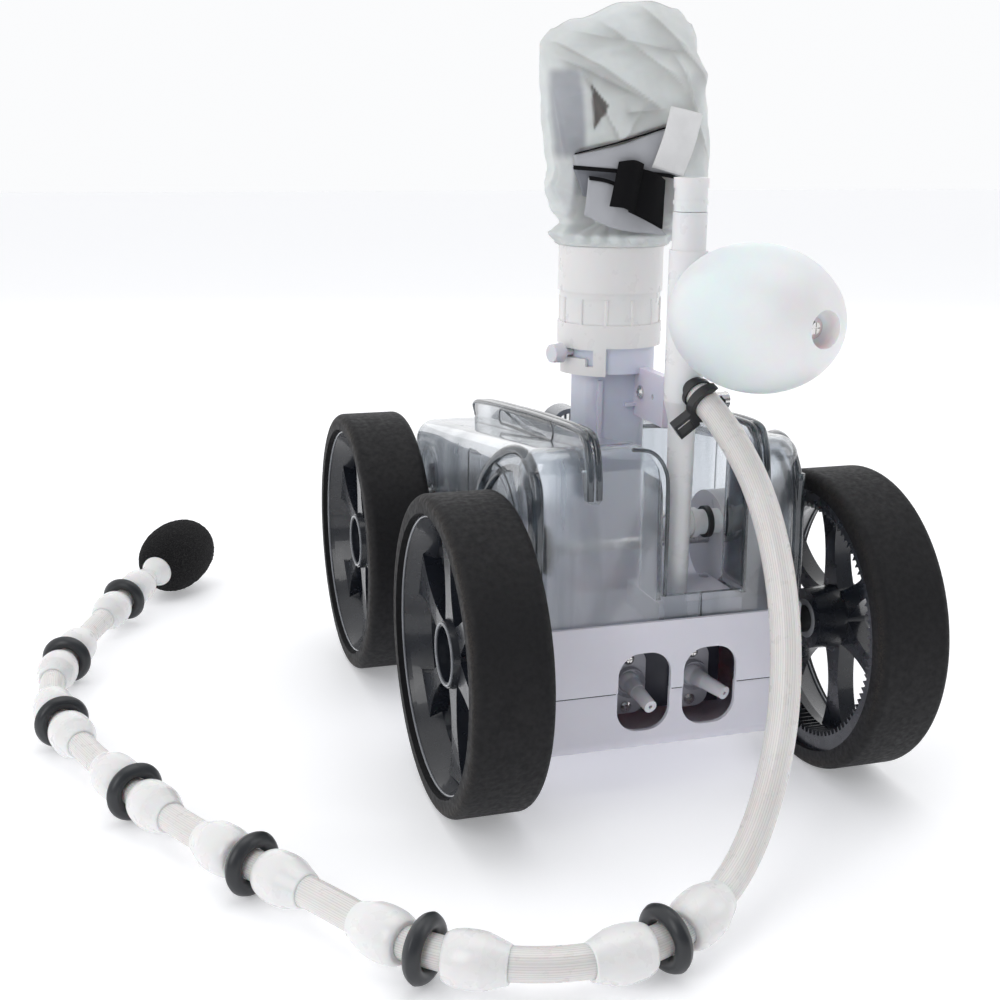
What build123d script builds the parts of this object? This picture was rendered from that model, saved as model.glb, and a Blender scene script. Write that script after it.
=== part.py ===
from build123d import *
import math
import os

os.makedirs("parts", exist_ok=True)

# Pressure-side pool cleaner, millimetres. X to the right, Y forward (the way it drives), Z up.
# The origin is on the floor, midway between the wheels.

# ---- driving dimensions -------------------------------------------------------------
WHEEL_RADIUS = 100.0
WHEEL_WIDTH = 49.0
HALF_TRACK = 152.5          # middle plane to a tyre's outer face
HALF_WHEELBASE = 132.0
TYRE_BORE = 88.0
TYRE_EDGE = 5.7             # rounding of the tread's edges
RING_TEETH = 96
PINION_TEETH = 12
MODULE = 1.6
HALF_BACKLASH = 0.35        # taken off each tooth's half width

BODY_HALF = 98.0            # half width over the side walls
BODY_REAR = -152.0
BODY_FRONT = 150.0
PAN_BOTTOM = 28.0
SEAM_Z = 69.5               # joint between the pan and the band
BAND_TOP = 115.0
WALL = 3.0
DECK_Z = 109.0
HOOD_REAR_Z = 228.0
HOOD_FRONT_Z = 193.0
HOOD_WALL = 3.2
HOOD_CORNER = 19.0
HOOD_TOP_ROUND = 15.0
CORNER = 15.0

TOWER_X = (85.0, 90.5)      # bearing towers beside each wall
INNER_TOWER_X = (-52.0, -46.5)
LEFT_TOWER_X = (-TOWER_X[1], -TOWER_X[0])

TUBE_X = -1.0               # vacuum tube axis
TUBE_Y = -35.0
MAST_X = 15.5
MAST_Y = -122.0
MAST_TOP = 387.0
MANIFOLD_Y = -120.0
PEDESTAL_TOP = 124.5

AXLE_RADIUS = 5.0
SHAFT_RADIUS = 4.0
RUNNING_GAP = 0.05
BEARING_RADIUS = 13.0
CLEAR = 0.3                 # gap between pieces that move past each other

RING_PITCH_RADIUS = MODULE * RING_TEETH / 2
PINION_PITCH_RADIUS = MODULE * PINION_TEETH / 2
GEAR_OFFSET = (RING_PITCH_RADIUS - PINION_PITCH_RADIUS) * math.sqrt(0.5)
SHAFT_Y = HALF_WHEELBASE - GEAR_OFFSET      # the shafts stand at -SHAFT_Y and +SHAFT_Y
SHAFT_Z = WHEEL_RADIUS + GEAR_OFFSET
TOWERS = [(TOWER_X, -SHAFT_Y), (LEFT_TOWER_X, -SHAFT_Y), (LEFT_TOWER_X, SHAFT_Y), (INNER_TOWER_X, SHAFT_Y)]
SPROCKET_RADIUS = 14.0
TURBINE_X = (54.5, 76.5)
BELT_X = -66.0

HOSE_RADIUS = 8.8
HOSE_EXIT = (19.5, -136.0, 256.0)
HOSE_ROUTE = [
    HOSE_EXIT,
    (25.5, -160.0, 243.5),
    (31.0, -207.0, 207.0),
    (27.0, -247.0, 155.0),
    (16.0, -274.0, 101.0),
    (-5.0, -296.0, 56.0),
    (-35.0, -321.0, 29.5),
    (-73.0, -344.0, 19.5),
    (-118.0, -356.5, 18.5),
    (-167.0, -348.5, 18.5),
    (-212.0, -317.0, 18.5),
    (-245.0, -256.0, 18.5),
    (-304.0, -164.0, 18.5),
    (-356.0, -40.0, 18.5),
    (-386.0, 82.0, 18.5),
    (-354.0, 188.0, 18.5),
    (-318.0, 276.0, 21.0),
    (-289.0, 320.0, 27.5),
]
RING_STATIONS = [381, 507, 633, 756, 888, 1013, 1156]     # along the hose, from its exit
CONNECTOR_OFFSET = 28.0
CONNECTOR_LENGTH = 33.0
CONNECTOR_RADIUS = 14.2
WEAR_RING_RADIUS = 18.4
WEAR_RING_SECTION = 4.7


UPWARDS = (Align.CENTER, Align.CENTER, Align.MIN)


# ---- helpers ------------------------------------------------------------------------
def save(name, shape):
    """Write one node; loose pieces of one node are kept as separate solids."""
    export_step(shape, f"parts/{name}.step")


def group(pieces):
    return Compound(children=list(pieces))


def ordered(a, b):
    return (min(a, b), max(a, b))


def slab(x, y, z):
    """A box from three (low, high) pairs."""
    size = [high - low for low, high in (x, y, z)]
    middle = [(high + low) / 2 for low, high in (x, y, z)]
    return Pos(*middle) * Box(*size)


def round_slab(x, y, z, radius):
    """A box with rounded upright edges."""
    outline = RectangleRounded(x[1] - x[0], y[1] - y[0], radius)
    return Pos((x[0] + x[1]) / 2, (y[0] + y[1]) / 2, z[0]) * extrude(outline, z[1] - z[0])


def rod(start, direction, length, radius, end_radius=None):
    """A cylinder or a cone that starts at a point and runs along a direction."""
    up = (Align.CENTER, Align.CENTER, Align.MIN)
    if end_radius is None:
        body = Cylinder(radius, length, align=up)
    else:
        body = Cone(radius, end_radius, length, align=up)
    return Plane(origin=start, z_dir=direction) * body


def post(x, y, z, radius, end_radius=None):
    return rod((x, y, z[0]), (0, 0, 1), z[1] - z[0], radius, end_radius)


def tube(x, y, z, outer, inner):
    return post(x, y, z, outer) - post(x, y, z, inner)


def cross_rod(x, y, z, radius):
    """A cylinder along X from x[0] to x[1]."""
    return rod((x[0], y, z), (1, 0, 0), x[1] - x[0], radius)


def cross_tube(x, y, z, outer, inner):
    return cross_rod(x, y, z, outer) - cross_rod(x, y, z, inner)


def turned(profile, y, z):
    """Turn an (x, radius) outline about an axis along X through (y, z)."""
    outline = Polyline([(x, 0, r) for x, r in profile], close=True)
    return Pos(0, y, z) * revolve(make_face(outline), Axis.X, 360)


def toothed_outline(teeth, root, tip, root_half, tip_half):
    """Outline of a gear with straight-sided teeth, the first tooth along local X."""
    points = []
    for tooth in range(teeth):
        middle = 2 * math.pi * tooth / teeth
        for radius, half in ((root, -root_half), (tip, -tip_half), (tip, tip_half), (root, root_half)):
            angle = middle + half / radius
            points.append((radius * math.cos(angle), radius * math.sin(angle)))
    return make_face(Polyline(points, close=True))


def facing_x(x, y, z):
    """A plane across the X axis: local x points along +Y and local y along +Z."""
    return Plane(origin=(x, y, z), x_dir=(0, 1, 0), z_dir=(1, 0, 0))


def pan_head_screw(at, direction, head=3.4, shank=1.6, length=9.0):
    """A cross-recessed screw whose head faces along the direction."""
    way = Vector(*direction).normalized()
    seat = Vector(*at)
    body = rod(seat, way, 1.2, head) + rod(seat + way * 1.2, way, 1.1, head, head * 0.55)
    body += rod(seat - way * length, way, length, shank)
    face = Plane(origin=seat + way * 1.4, z_dir=way)
    for spin in (0, 90):
        body -= face * Rot(0, 0, spin) * Box(head * 1.1, 0.7, 2.4, align=UPWARDS)
    return body


# ---- wheels -------------------------------------------------------------------------
def make_tyre(side, y):
    outer = side * HALF_TRACK
    inner = side * (HALF_TRACK - WHEEL_WIDTH)
    tyre = turned([(outer, TYRE_BORE), (outer, WHEEL_RADIUS), (inner, WHEEL_RADIUS), (inner, TYRE_BORE)],
                  y, WHEEL_RADIUS)
    tread_edges = [e for e in tyre.edges().filter_by(GeomType.CIRCLE) if abs(e.radius - WHEEL_RADIUS) < 0.01]
    return fillet(tread_edges, TYRE_EDGE)


def spoke_outline():
    """One swept spoke, from the hub out along local X, wider where it meets the rim."""
    hub, waist, rim = 18.0, 36.0, 80.5
    edges = [
        Line((hub, -10), (hub, 10)),
        Spline((hub, 10), (waist, 6.5), (60, 9), (rim, 19)),
        Line((rim, 19), (rim, -15)),
        Spline((rim, -15), (60, -7), (waist, -6.5), (hub, -10)),
    ]
    return make_face(Wire(edges))


def make_rim(side, y):
    def at(depth):
        return side * (HALF_TRACK - depth)

    def ring_of(profile):
        return turned([(at(depth), radius) for depth, radius in profile], y, WHEEL_RADIUS)

    barrel = ring_of([(4, TYRE_BORE), (45, TYRE_BORE), (45, 81), (28, 81), (28, 78.5), (22, 78.5),
                      (8, 84.8), (4, 86.4)])
    hub = ring_of([(10, 17.5), (10, 21), (14, 22), (46, 20), (46, BEARING_RADIUS),
                   (24, BEARING_RADIUS), (24, 17.5)])
    thickness = 12.0
    low = min(at(14), at(14 + thickness))
    spokes = []
    for index in range(6):
        turn = Rot(0, 0, 60 * index + 20)
        spokes.append(facing_x(low, y, WHEEL_RADIUS) * turn * extrude(spoke_outline(), thickness))
    web = spokes[0]
    for spoke in spokes[1:]:
        web += spoke
    web -= cross_rod((-HALF_TRACK - 1, HALF_TRACK + 1), y, WHEEL_RADIUS, 19)
    gear_low = min(at(31), at(45))
    gear_blank = facing_x(gear_low, y, WHEEL_RADIUS) * extrude(Circle(81.5), 14)
    half_tooth = math.pi * MODULE / 4 - HALF_BACKLASH
    cavity = toothed_outline(RING_TEETH, 75.4, 78.5, half_tooth + 0.65 + 2 * HALF_BACKLASH,
                             half_tooth - 0.35 + 2 * HALF_BACKLASH)
    ring_gear = gear_blank - facing_x(gear_low - 1, y, WHEEL_RADIUS) * extrude(cavity, 16)
    return barrel + hub + web + ring_gear


def make_hub_bearings(side, y):
    races = []
    for depth in (24.0, 38.0):
        low = min(side * (HALF_TRACK - depth), side * (HALF_TRACK - depth - 8))
        races.append(cross_tube((low, low + 8), y, WHEEL_RADIUS, BEARING_RADIUS, AXLE_RADIUS + RUNNING_GAP))
    return group(races)


WHEELS = [
    ("rear_left", -1, -HALF_WHEELBASE),
    ("front_left", -1, HALF_WHEELBASE),
    ("right", 1, -HALF_WHEELBASE),
]
for wheel_name, wheel_side, wheel_y in WHEELS:
    save(f"{wheel_name}_tyre", make_tyre(wheel_side, wheel_y))
    save(f"{wheel_name}_rim", make_rim(wheel_side, wheel_y))
    save(f"{wheel_name}_hub_bearings", make_hub_bearings(wheel_side, wheel_y))


# ---- axles --------------------------------------------------------------------------
AXLE_END = HALF_TRACK - 23.0
save("rear_axle", cross_rod((-AXLE_END, AXLE_END), -HALF_WHEELBASE, WHEEL_RADIUS, AXLE_RADIUS))
save("front_axle", cross_rod((-AXLE_END, -60), HALF_WHEELBASE, WHEEL_RADIUS, AXLE_RADIUS))


def make_axle_cap(side, y):
    """Washer and screw head that hold a wheel on its axle, inside the hub's recess."""
    washer = rod((side * AXLE_END, y, WHEEL_RADIUS), (side, 0, 0), 1.6, 11)
    head = rod((side * (AXLE_END + 1.6), y, WHEEL_RADIUS), (side, 0, 0), 4, 6)
    socket = facing_x(side * (AXLE_END + 5.6), y, WHEEL_RADIUS) * extrude(RegularPolygon(3, 6), 4, both=True)
    return washer + head - socket


save("axle_caps", group([make_axle_cap(side, y) for _, side, y in WHEELS]))
save("axle_spacers", group([
    cross_tube(ordered(side * 98.1, side * 106.1), y, WHEEL_RADIUS, 9, AXLE_RADIUS)
    for _, side, y in WHEELS
]))

# ---- pan, band and deck -------------------------------------------------------------
WINDOW_Z = (42.0, 95.0)
WINDOWS_X = [(-34.6, 1.4), (10.3, 47.3)]


def window_cut(x):
    """Rounded jet window through the rear wall."""
    outline = RectangleRounded(x[1] - x[0], WINDOW_Z[1] - WINDOW_Z[0], 15)
    middle = ((x[0] + x[1]) / 2, BODY_REAR + 8, sum(WINDOW_Z) / 2)
    return Plane(origin=middle, x_dir=(1, 0, 0), z_dir=(0, -1, 0)) * extrude(outline, 12, both=True)


def within(span):
    """The same span brought in by one wall on each side."""
    return (span[0] + WALL, span[1] - WALL)


def make_pan():
    x = (-BODY_HALF + 1, BODY_HALF - 1)
    y = (BODY_REAR + 1, BODY_FRONT - 1)
    pan = round_slab(x, y, (PAN_BOTTOM, SEAM_Z), CORNER)
    pan = fillet(pan.faces().sort_by(Axis.Z)[0].edges(), 9)
    inside = round_slab(within(x), within(y), (PAN_BOTTOM + WALL, SEAM_Z + 5), CORNER - WALL)
    pan -= fillet(inside.faces().sort_by(Axis.Z)[0].edges(), 6)
    mouth_x = (TUBE_X - 54, TUBE_X + 54)
    mouth_y = (TUBE_Y - 38, TUBE_Y + 38)
    pan -= round_slab(mouth_x, mouth_y, (PAN_BOTTOM - 2, PAN_BOTTOM + 8), 14)
    for x_pair in WINDOWS_X:
        pan -= window_cut(x_pair)
    for rib_y in (40, 95):
        pan += slab((-70, 70), (rib_y - 1.5, rib_y + 1.5), (PAN_BOTTOM + 2, PAN_BOTTOM + 10))
    return pan


def tower(x, y, height):
    """Bearing tower on the deck, with a rounded head."""
    plate = slab(x, (y - 18, y + 18), (DECK_Z - 1, height))
    plate = plate + cross_rod(x, y, height, 18)
    return plate - cross_rod((x[0] - 1, x[1] + 1), y, SHAFT_Z, 8)


def make_band():
    x = (-BODY_HALF, BODY_HALF)
    y = (BODY_REAR, BODY_FRONT)
    band = round_slab(x, y, (SEAM_Z, BAND_TOP), CORNER)
    band -= round_slab(within(x), within(y), (SEAM_Z - 1, DECK_Z - 3), CORNER - WALL)
    band -= round_slab(within(x), within(y), (DECK_Z, BAND_TOP + 1), CORNER - WALL)
    band += slab((-6, 52), (-144.5, -92), (DECK_Z - 1, PEDESTAL_TOP))
    band -= round_slab((TUBE_X - 29, TUBE_X + 29), (TUBE_Y - 29, TUBE_Y + 29), (DECK_Z - 6, DECK_Z + 20), 9)
    band -= post(MAST_X, MANIFOLD_Y, (DECK_Z - 6, PEDESTAL_TOP + 1), 4.6)
    band -= post(47, -99, (PEDESTAL_TOP - 9, PEDESTAL_TOP + 1), 3.4)
    for x_pair in WINDOWS_X:
        band -= window_cut(x_pair)
    for tower_x, tower_y in TOWERS:
        band += tower(tower_x, tower_y, SHAFT_Z + 4)
    band -= cross_rod((-130, 130), -HALF_WHEELBASE, WHEEL_RADIUS, AXLE_RADIUS)
    band -= cross_rod((-130, -80), HALF_WHEELBASE, WHEEL_RADIUS, AXLE_RADIUS)
    return band


save("base_pan", make_pan())
save("chassis_band", make_band())

# ---- clear hood ---------------------------------------------------------------------
HOOD_X = BODY_HALF - WALL - 0.4
HOOD_Y = (BODY_REAR + WALL + 0.4, BODY_FRONT - WALL - 0.4)
SLOT_X = (-5.0, 51.0)
SLOT_SILL = 130.0
OPENING_X = (-24.0, 51.0)
OPENING_FRONT = -10.0
HOOD_SCREWS_Y = (20.0, 125.0)
HOOD_SCREW_Z = 121.0


def hood_block(inset):
    """The hood's outer form, or its hollow when inset by the wall."""
    y0, y1 = HOOD_Y[0] + inset, HOOD_Y[1] - inset
    bottom = DECK_Z + CLEAR - (10 if inset else 0)
    side = Polyline([(0, y0, bottom), (0, y1, bottom), (0, y1 - 3, HOOD_FRONT_Z - inset),
                     (0, y0 + 4, HOOD_REAR_Z - inset)], close=True)
    half = HOOD_X - inset
    body = Pos(-half, 0, 0) * extrude(make_face(side), 2 * half, dir=(1, 0, 0))
    upright = body.edges().filter_by(lambda e: e.bounding_box().size.Z > 40)
    body = fillet(upright, HOOD_CORNER - inset)
    top = body.faces().filter_by(lambda f: f.normal_at().Z > 0.9).sort_by(Axis.Z)[-1]
    return fillet(top.edges(), HOOD_TOP_ROUND - inset)


FIN_WIDTH = 9.0


def on_fin_back(point):
    """Whether a point is on a fin's outer back, above the hood's top or behind its rear face."""
    return point.Z > 220 or point.Y < -150.5


def make_fin(x):
    """Lifting rail along the hood's top, turned down over its rear edge."""
    points = [(84, 190), (82, 218), (-15, 228.5), (-84, 234.5), (-139, 238), (-152, 230), (-158, 212),
              (-158.5, 196), (-152, 196), (-146, 215), (-80, 215)]
    outline = make_face(Polyline([(0, y, z) for y, z in points], close=True))
    fin = Pos(x - FIN_WIDTH / 2, 0, 0) * extrude(outline, FIN_WIDTH, dir=(1, 0, 0))
    turned = fin.edges().filter_by(lambda e: e.bounding_box().size.X > FIN_WIDTH - 1)
    fin = fillet(turned.filter_by(lambda e: e.center().Z > 205 and e.center().Y < -120), 5)
    along_top = fin.edges().filter_by(lambda e: e.bounding_box().size.X < 0.1 and abs(e.center().X - x) > 3)
    return fillet(along_top.filter_by(lambda e: on_fin_back(e.center())), 2.4)


def fin_pocket(x, outward):
    """Long finger recess in a rail's outer face."""
    slope = math.degrees(math.atan2(6, 69))
    outline = SlotOverall(124, 8)
    face = Plane(origin=(x + outward * 5, -40, 221.5), x_dir=(0, -1, 0), z_dir=(outward, 0, 0))
    return face * Rot(0, 0, outward * slope) * extrude(outline, -3)


def arch_outline(radius, foot):
    """A doorway outline: straight sides with a round head, local y up."""
    return Circle(radius) + Pos(0, -foot / 2) * Rectangle(2 * radius, foot)


def make_hood():
    hood = hood_block(0) - hood_block(HOOD_WALL)
    slot = Plane(origin=(0, HOOD_Y[0] + 45, 0), x_dir=(1, 0, 0), z_dir=(0, -1, 0))
    outline = Polyline([(SLOT_X[0], SLOT_SILL), (SLOT_X[1], SLOT_SILL), (SLOT_X[1], 250), (-30, 250),
                        (-30, 232), (-16, 224), (-9, 212), (-6.5, 196)], close=True)
    returns = [slab((OPENING_X[0] - HOOD_WALL, OPENING_X[0]), (-80, OPENING_FRONT), (190, 216)),
               slab((SLOT_X[0] - HOOD_WALL, SLOT_X[0]), (HOOD_Y[0] + 2, -116), (DECK_Z + 18, 205)),
               slab((SLOT_X[1], SLOT_X[1] + HOOD_WALL), (HOOD_Y[0] + 2, -116), (DECK_Z + 18, 218))]
    for wall in returns:
        hood += wall
    hood -= slot * extrude(make_face(outline), 60)
    hood -= round_slab(OPENING_X, (-118, OPENING_FRONT), (188, 260), 8)
    for fin_x, outward in ((-56, -1), (56, 1)):
        hood += make_fin(fin_x) - hood_block(HOOD_WALL)
        hood -= fin_pocket(fin_x, outward)
    for arch_side, arch_y in ((-1, -SHAFT_Y), (1, -SHAFT_Y), (-1, SHAFT_Y)):
        face = facing_x(arch_side * HOOD_X, arch_y, SHAFT_Z + 14)
        lip = extrude(arch_outline(46, 40) - arch_outline(41, 41), 1.6 * arch_side)
        hood += face * lip if arch_y < 0 else face * extrude(Circle(22) - Circle(19), -1.6)
        hood -= cross_rod(ordered(arch_side * 90, arch_side * 110), arch_y, SHAFT_Z, 9)
    for groove_side in (-1, 1):
        groove_x = ordered(groove_side * 96, groove_side * (HOOD_X - 1.2))
        hood -= slab(groove_x, (-46, -16), (SLOT_SILL + 6, 205))
    hood -= slab((21.6, 22.6), (HOOD_Y[0] - 1, HOOD_Y[0] + 5), (DECK_Z - 1, SLOT_SILL + 1))
    for y in HOOD_SCREWS_Y:
        hood -= cross_rod((-100, 100), y, HOOD_SCREW_Z, 1.5)
    return hood


save("hood", make_hood())
VENT_Y = 40.0
vent = Plane(origin=(-8, VENT_Y, 205), x_dir=(1, 0, 0), z_dir=(0, -1, 0))
vent_frame = extrude(arch_outline(15, 4) - Pos(0, -1) * arch_outline(12.4, 4), 22)
vent_bar = Box(1.4, 16, 2, align=UPWARDS)
vent_bars = [Pos(x, 3, 0) * vent_bar for x in (-8, -4, 0, 4, 8)]
vent_grille = vent_frame
for bar in vent_bars:
    vent_grille += bar
save("hood_vent", (vent * vent_grille) - hood_block(0))
save("hood_screws", group([
    pan_head_screw((side * HOOD_X, y, HOOD_SCREW_Z), (side, 0, 0), 3.2, 1.5, 6)
    for side in (-1, 1) for y in HOOD_SCREWS_Y
]))

# ---- vacuum tube --------------------------------------------------------------------
LATCH_ANGLE = math.radians(196)     # where the latch knob stands round the tube
LATCH_Z = 271.0
LATCH_WAY = Vector(math.cos(LATCH_ANGLE), math.sin(LATCH_ANGLE), 0)
COLUMN_HALF = 21.0
NECK_RADIUS = 31.0
NECK_Z = (258.0, 307.0)
FUNNEL_Z = (PAN_BOTTOM + WALL, 120.0)


def funnel(widen):
    """Square-to-square hopper from the suction mouth up to the column."""
    low = RectangleRounded(112 + widen, 78 + widen, 14 + widen / 2)
    high = RectangleRounded(37 + widen, 37 + widen, 6 + widen / 2)
    return loft([Pos(TUBE_X, TUBE_Y, FUNNEL_Z[0]) * low, Pos(TUBE_X, TUBE_Y, FUNNEL_Z[1]) * high])


def around_tube(half, z, radius):
    return round_slab((TUBE_X - half, TUBE_X + half), (TUBE_Y - half, TUBE_Y + half), z, radius)


def make_vacuum_tube():
    body = funnel(5) + around_tube(COLUMN_HALF, (FUNNEL_Z[1] - 0.5, NECK_Z[0] + 2), 8)
    body += post(TUBE_X, TUBE_Y, NECK_Z, NECK_RADIUS)
    body += slab((TUBE_X - 15.5, TUBE_X - 12.5), (TUBE_Y - 23, TUBE_Y - 20), (176, 253))
    body += slab((TUBE_X + 4, TUBE_X + 20.5), (TUBE_Y - 24, TUBE_Y - 20), (235, 237.4))
    body += slab((TUBE_X + 11, TUBE_X + 17), (-104, TUBE_Y - 20), (229, 262))
    body -= funnel(0) + around_tube(COLUMN_HALF - 2.5, (FUNNEL_Z[1] - 1, NECK_Z[0] + 1), 6)
    body -= post(TUBE_X, TUBE_Y, (NECK_Z[0], NECK_Z[1] + 1), NECK_RADIUS - 2.5)
    body -= rod((TUBE_X, TUBE_Y, LATCH_Z), LATCH_WAY, 60, 2.6)
    for y in (TUBE_Y - 33, TUBE_Y - 52):
        body -= cross_rod((TUBE_X + 5, TUBE_X + 25), y, 246, 1.8)
    return body


save("vacuum_tube", make_vacuum_tube())
save("venturi_ring", around_tube(COLUMN_HALF - 2.5, (124, 131), 6) - post(TUBE_X, TUBE_Y, (123, 132), 14.5))

# ---- bag collar and bag -------------------------------------------------------------
COLLAR_RADIUS = 35.0
COLLAR_Z = (311.0, 343.0)
COLLAR_BORE = NECK_RADIUS + CLEAR
SLOT_ARC = (190, 232)       # the bayonet slot, degrees round the tube
LOBE_ARC = (182, 246)


def wedge(start, end, radius, z):
    """A pie slice about the tube axis, between two angles in degrees."""
    a, b = math.radians(start), math.radians(end)
    middle = (a + b) / 2
    arc = ThreePointArc((radius * math.cos(a), radius * math.sin(a)),
                        (radius * math.cos(middle), radius * math.sin(middle)),
                        (radius * math.cos(b), radius * math.sin(b)))
    outline = make_face(Wire([Line((0, 0), arc @ 0), arc, Line(arc @ 1, (0, 0))]))
    return Pos(TUBE_X, TUBE_Y, z[0]) * extrude(outline, z[1] - z[0])


def collar_ring(z, outer, inner=COLLAR_BORE):
    return tube(TUBE_X, TUBE_Y, z, outer, inner)


def make_bayonet_ring():
    """Ribbed lower ring with the lobe and its bayonet slot round the latch knob."""
    ring = collar_ring((290, 307), 33.2) + collar_ring((275.5, 290.5), COLLAR_RADIUS)
    for spoke in range(0, 360, 30):
        angle = math.radians(spoke + 5)
        at = (TUBE_X + 33 * math.cos(angle), TUBE_Y + 33 * math.sin(angle))
        ring += post(at[0], at[1], (290, 307), 1.3)
    ring += wedge(*LOBE_ARC, 60, (257, 276)) & collar_ring((257, 276), COLLAR_RADIUS)
    ring -= wedge(*SLOT_ARC, 60, (LATCH_Z - 3, LATCH_Z + 3)) & collar_ring((LATCH_Z - 3, LATCH_Z + 3), 50)
    mouth = wedge(SLOT_ARC[1] - 9, SLOT_ARC[1], 60, (LATCH_Z - 8, LATCH_Z))
    ring -= mouth & collar_ring((250, LATCH_Z + 1), 50)
    return ring - collar_ring((250, 310), COLLAR_BORE, 1) - post(TUBE_X, TUBE_Y, (250, 310), 5)


def make_bag_collar():
    collar = collar_ring(COLLAR_Z, COLLAR_RADIUS) + collar_ring((307, 311.5), 33.8)
    return collar + collar_ring((341, 346), 36.2)


save("bayonet_ring", make_bayonet_ring())
save("bag_collar", make_bag_collar())

BAG_TOP = 491.0
BAG_WALL = 3.0


def bag_form(inset):
    """The filled-out shape that the crumpled filter bag takes up, or its hollow."""
    return loft([
        Plane(origin=(TUBE_X, TUBE_Y, 346)) * Circle(37 - inset),
        Plane(origin=(TUBE_X + 3, TUBE_Y, 385)) * Ellipse(49 - inset, 43 - inset),
        Plane(origin=(TUBE_X + 8, TUBE_Y, 440)) * Ellipse(55 - inset, 45 - inset),
        Plane(origin=(TUBE_X + 6, TUBE_Y, BAG_TOP - inset)) * Ellipse(48 - inset, 40 - inset),
    ])


save("filter_bag", bag_form(0) - bag_form(BAG_WALL))
save("latch_knob", rod(Vector(TUBE_X, TUBE_Y, LATCH_Z) + LATCH_WAY * 27, LATCH_WAY, 11, 2.2)
     + rod(Vector(TUBE_X, TUBE_Y, LATCH_Z) + LATCH_WAY * 37, LATCH_WAY, 2.5, 4.2)
     + rod(Vector(TUBE_X, TUBE_Y, LATCH_Z) + LATCH_WAY * 39.5, LATCH_WAY, 8, 6.6, 6.0))

# ---- feed mast ----------------------------------------------------------------------
MAST_WIDE_Z = (250.0, 343.5)
SWIVEL_Z = 366.5
MAST_SCREWS_Y = (TUBE_Y - 33, TUBE_Y - 52)
HOSE_WAY = (Vector(*HOSE_ROUTE[1]) - Vector(*HOSE_EXIT)).normalized()


def make_mast():
    mast = post(MAST_X, MAST_Y, (PEDESTAL_TOP, MAST_WIDE_Z[0]), 7.7, 8.9)
    mast += post(MAST_X, MAST_Y, (MAST_WIDE_Z[0] - 14, MAST_WIDE_Z[0]), 8.6, 12)
    mast += post(MAST_X, MAST_Y, MAST_WIDE_Z, 12)
    mast += post(MAST_X, MAST_Y, (MAST_WIDE_Z[1], SWIVEL_Z), 10.6)
    mast += post(MAST_X, MAST_Y, (SWIVEL_Z, SWIVEL_Z + 12), 7)
    mast += cross_rod((MAST_X, 36), MAST_Y, 249, 5.6)
    mast += rod((MAST_X, MAST_Y, 163), (0, 1, 0), 15.9, 7)
    mast += slab((MAST_X + 1.2, MAST_X + 5.2), (-116, -80), (231, 260))
    mast -= post(MAST_X, MAST_Y, (PEDESTAL_TOP - 1, SWIVEL_Z + 13), 4.6)
    mast -= cross_rod((MAST_X, 37), MAST_Y, 249, 3)
    mast -= rod((MAST_X, MAST_Y, 163), (0, 1, 0), 17, 4)
    for y in MAST_SCREWS_Y:
        mast -= cross_rod((MAST_X, MAST_X + 10), y, 246, 1.8)
    mast -= rod(Vector(*HOSE_EXIT) - HOSE_WAY * 13, HOSE_WAY, 20, 8.2)
    return mast - rod(Vector(*HOSE_EXIT) - HOSE_WAY * 3, HOSE_WAY, 12, 10.1)


save("feed_mast", make_mast())
save("mast_swivel", tube(MAST_X, MAST_Y, (SWIVEL_Z + CLEAR, 381), 10.2, 7.06)
     + tube(MAST_X, MAST_Y, (380.9, MAST_TOP), 10.9, 5.5) + tube(MAST_X, MAST_Y, (371, 373.5), 10.8, 9))
save("mast_screws", group([
    pan_head_screw((TUBE_X + 11, MAST_SCREWS_Y[0], 246), (-1, 0, 0), 4.6, 1.8, 9.4),
    pan_head_screw((MAST_X + 5.2, MAST_SCREWS_Y[1], 246), (1, 0, 0), 4.6, 1.8, 9.4),
]))
save("adjust_screw", cross_rod((28, 37), MAST_Y, 249, 2.95) + cross_rod((36.2, 46), MAST_Y, 249, 5.4)
     - slab((44, 47), (MAST_Y - 0.6, MAST_Y + 0.6), (240, 258)))

# ---- float --------------------------------------------------------------------------
FLOAT_ANGLE = math.radians(14.5)
FLOAT_WAY = Vector(math.sin(FLOAT_ANGLE), -math.cos(FLOAT_ANGLE), 0)
FLOAT_CENTRE = Vector(38, -170, 307)
FLOAT_HALF_LENGTH = 61.0
FLOAT_RADIUS = 44.5
FLOAT_HOLLOW = 38.0      # sealed air space


def make_float():
    """Egg-shaped float, notched round the mast and dished at its far end."""
    half = make_face(Wire([
        EllipticalCenterArc((0, 0), FLOAT_RADIUS, FLOAT_HALF_LENGTH, -90, arc_size=180),
        Line((0, FLOAT_HALF_LENGTH), (0, -FLOAT_HALF_LENGTH)),
    ]))
    frame = Plane(origin=FLOAT_CENTRE, x_dir=(0, 0, 1), z_dir=FLOAT_WAY)
    egg = frame * (Rot(90, 0, 0) * revolve(half, Axis.Y, 360))
    dish = rod(FLOAT_CENTRE + FLOAT_WAY * (FLOAT_HALF_LENGTH - 12), FLOAT_WAY, 20, 11)
    egg -= dish
    rim = egg.edges().filter_by(GeomType.CIRCLE).sort_by(Axis((0, 0, 0), tuple(FLOAT_WAY)))[-1]
    egg = fillet(rim, 5)
    egg -= post(MAST_X, MAST_Y, (250, 370), 12 + CLEAR)
    egg -= rod(FLOAT_CENTRE + FLOAT_WAY * 20, FLOAT_WAY, 30, 2.4)
    egg -= Pos(*tuple(FLOAT_CENTRE + FLOAT_WAY * 3)) * Sphere(FLOAT_HOLLOW)
    behind = Plane(origin=Vector(MAST_X, MAST_Y, 307), x_dir=FLOAT_WAY, z_dir=(0, 0, 1))
    return egg - behind * Pos(-20, 0, 0) * Box(40, 24.6, 130)


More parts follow.
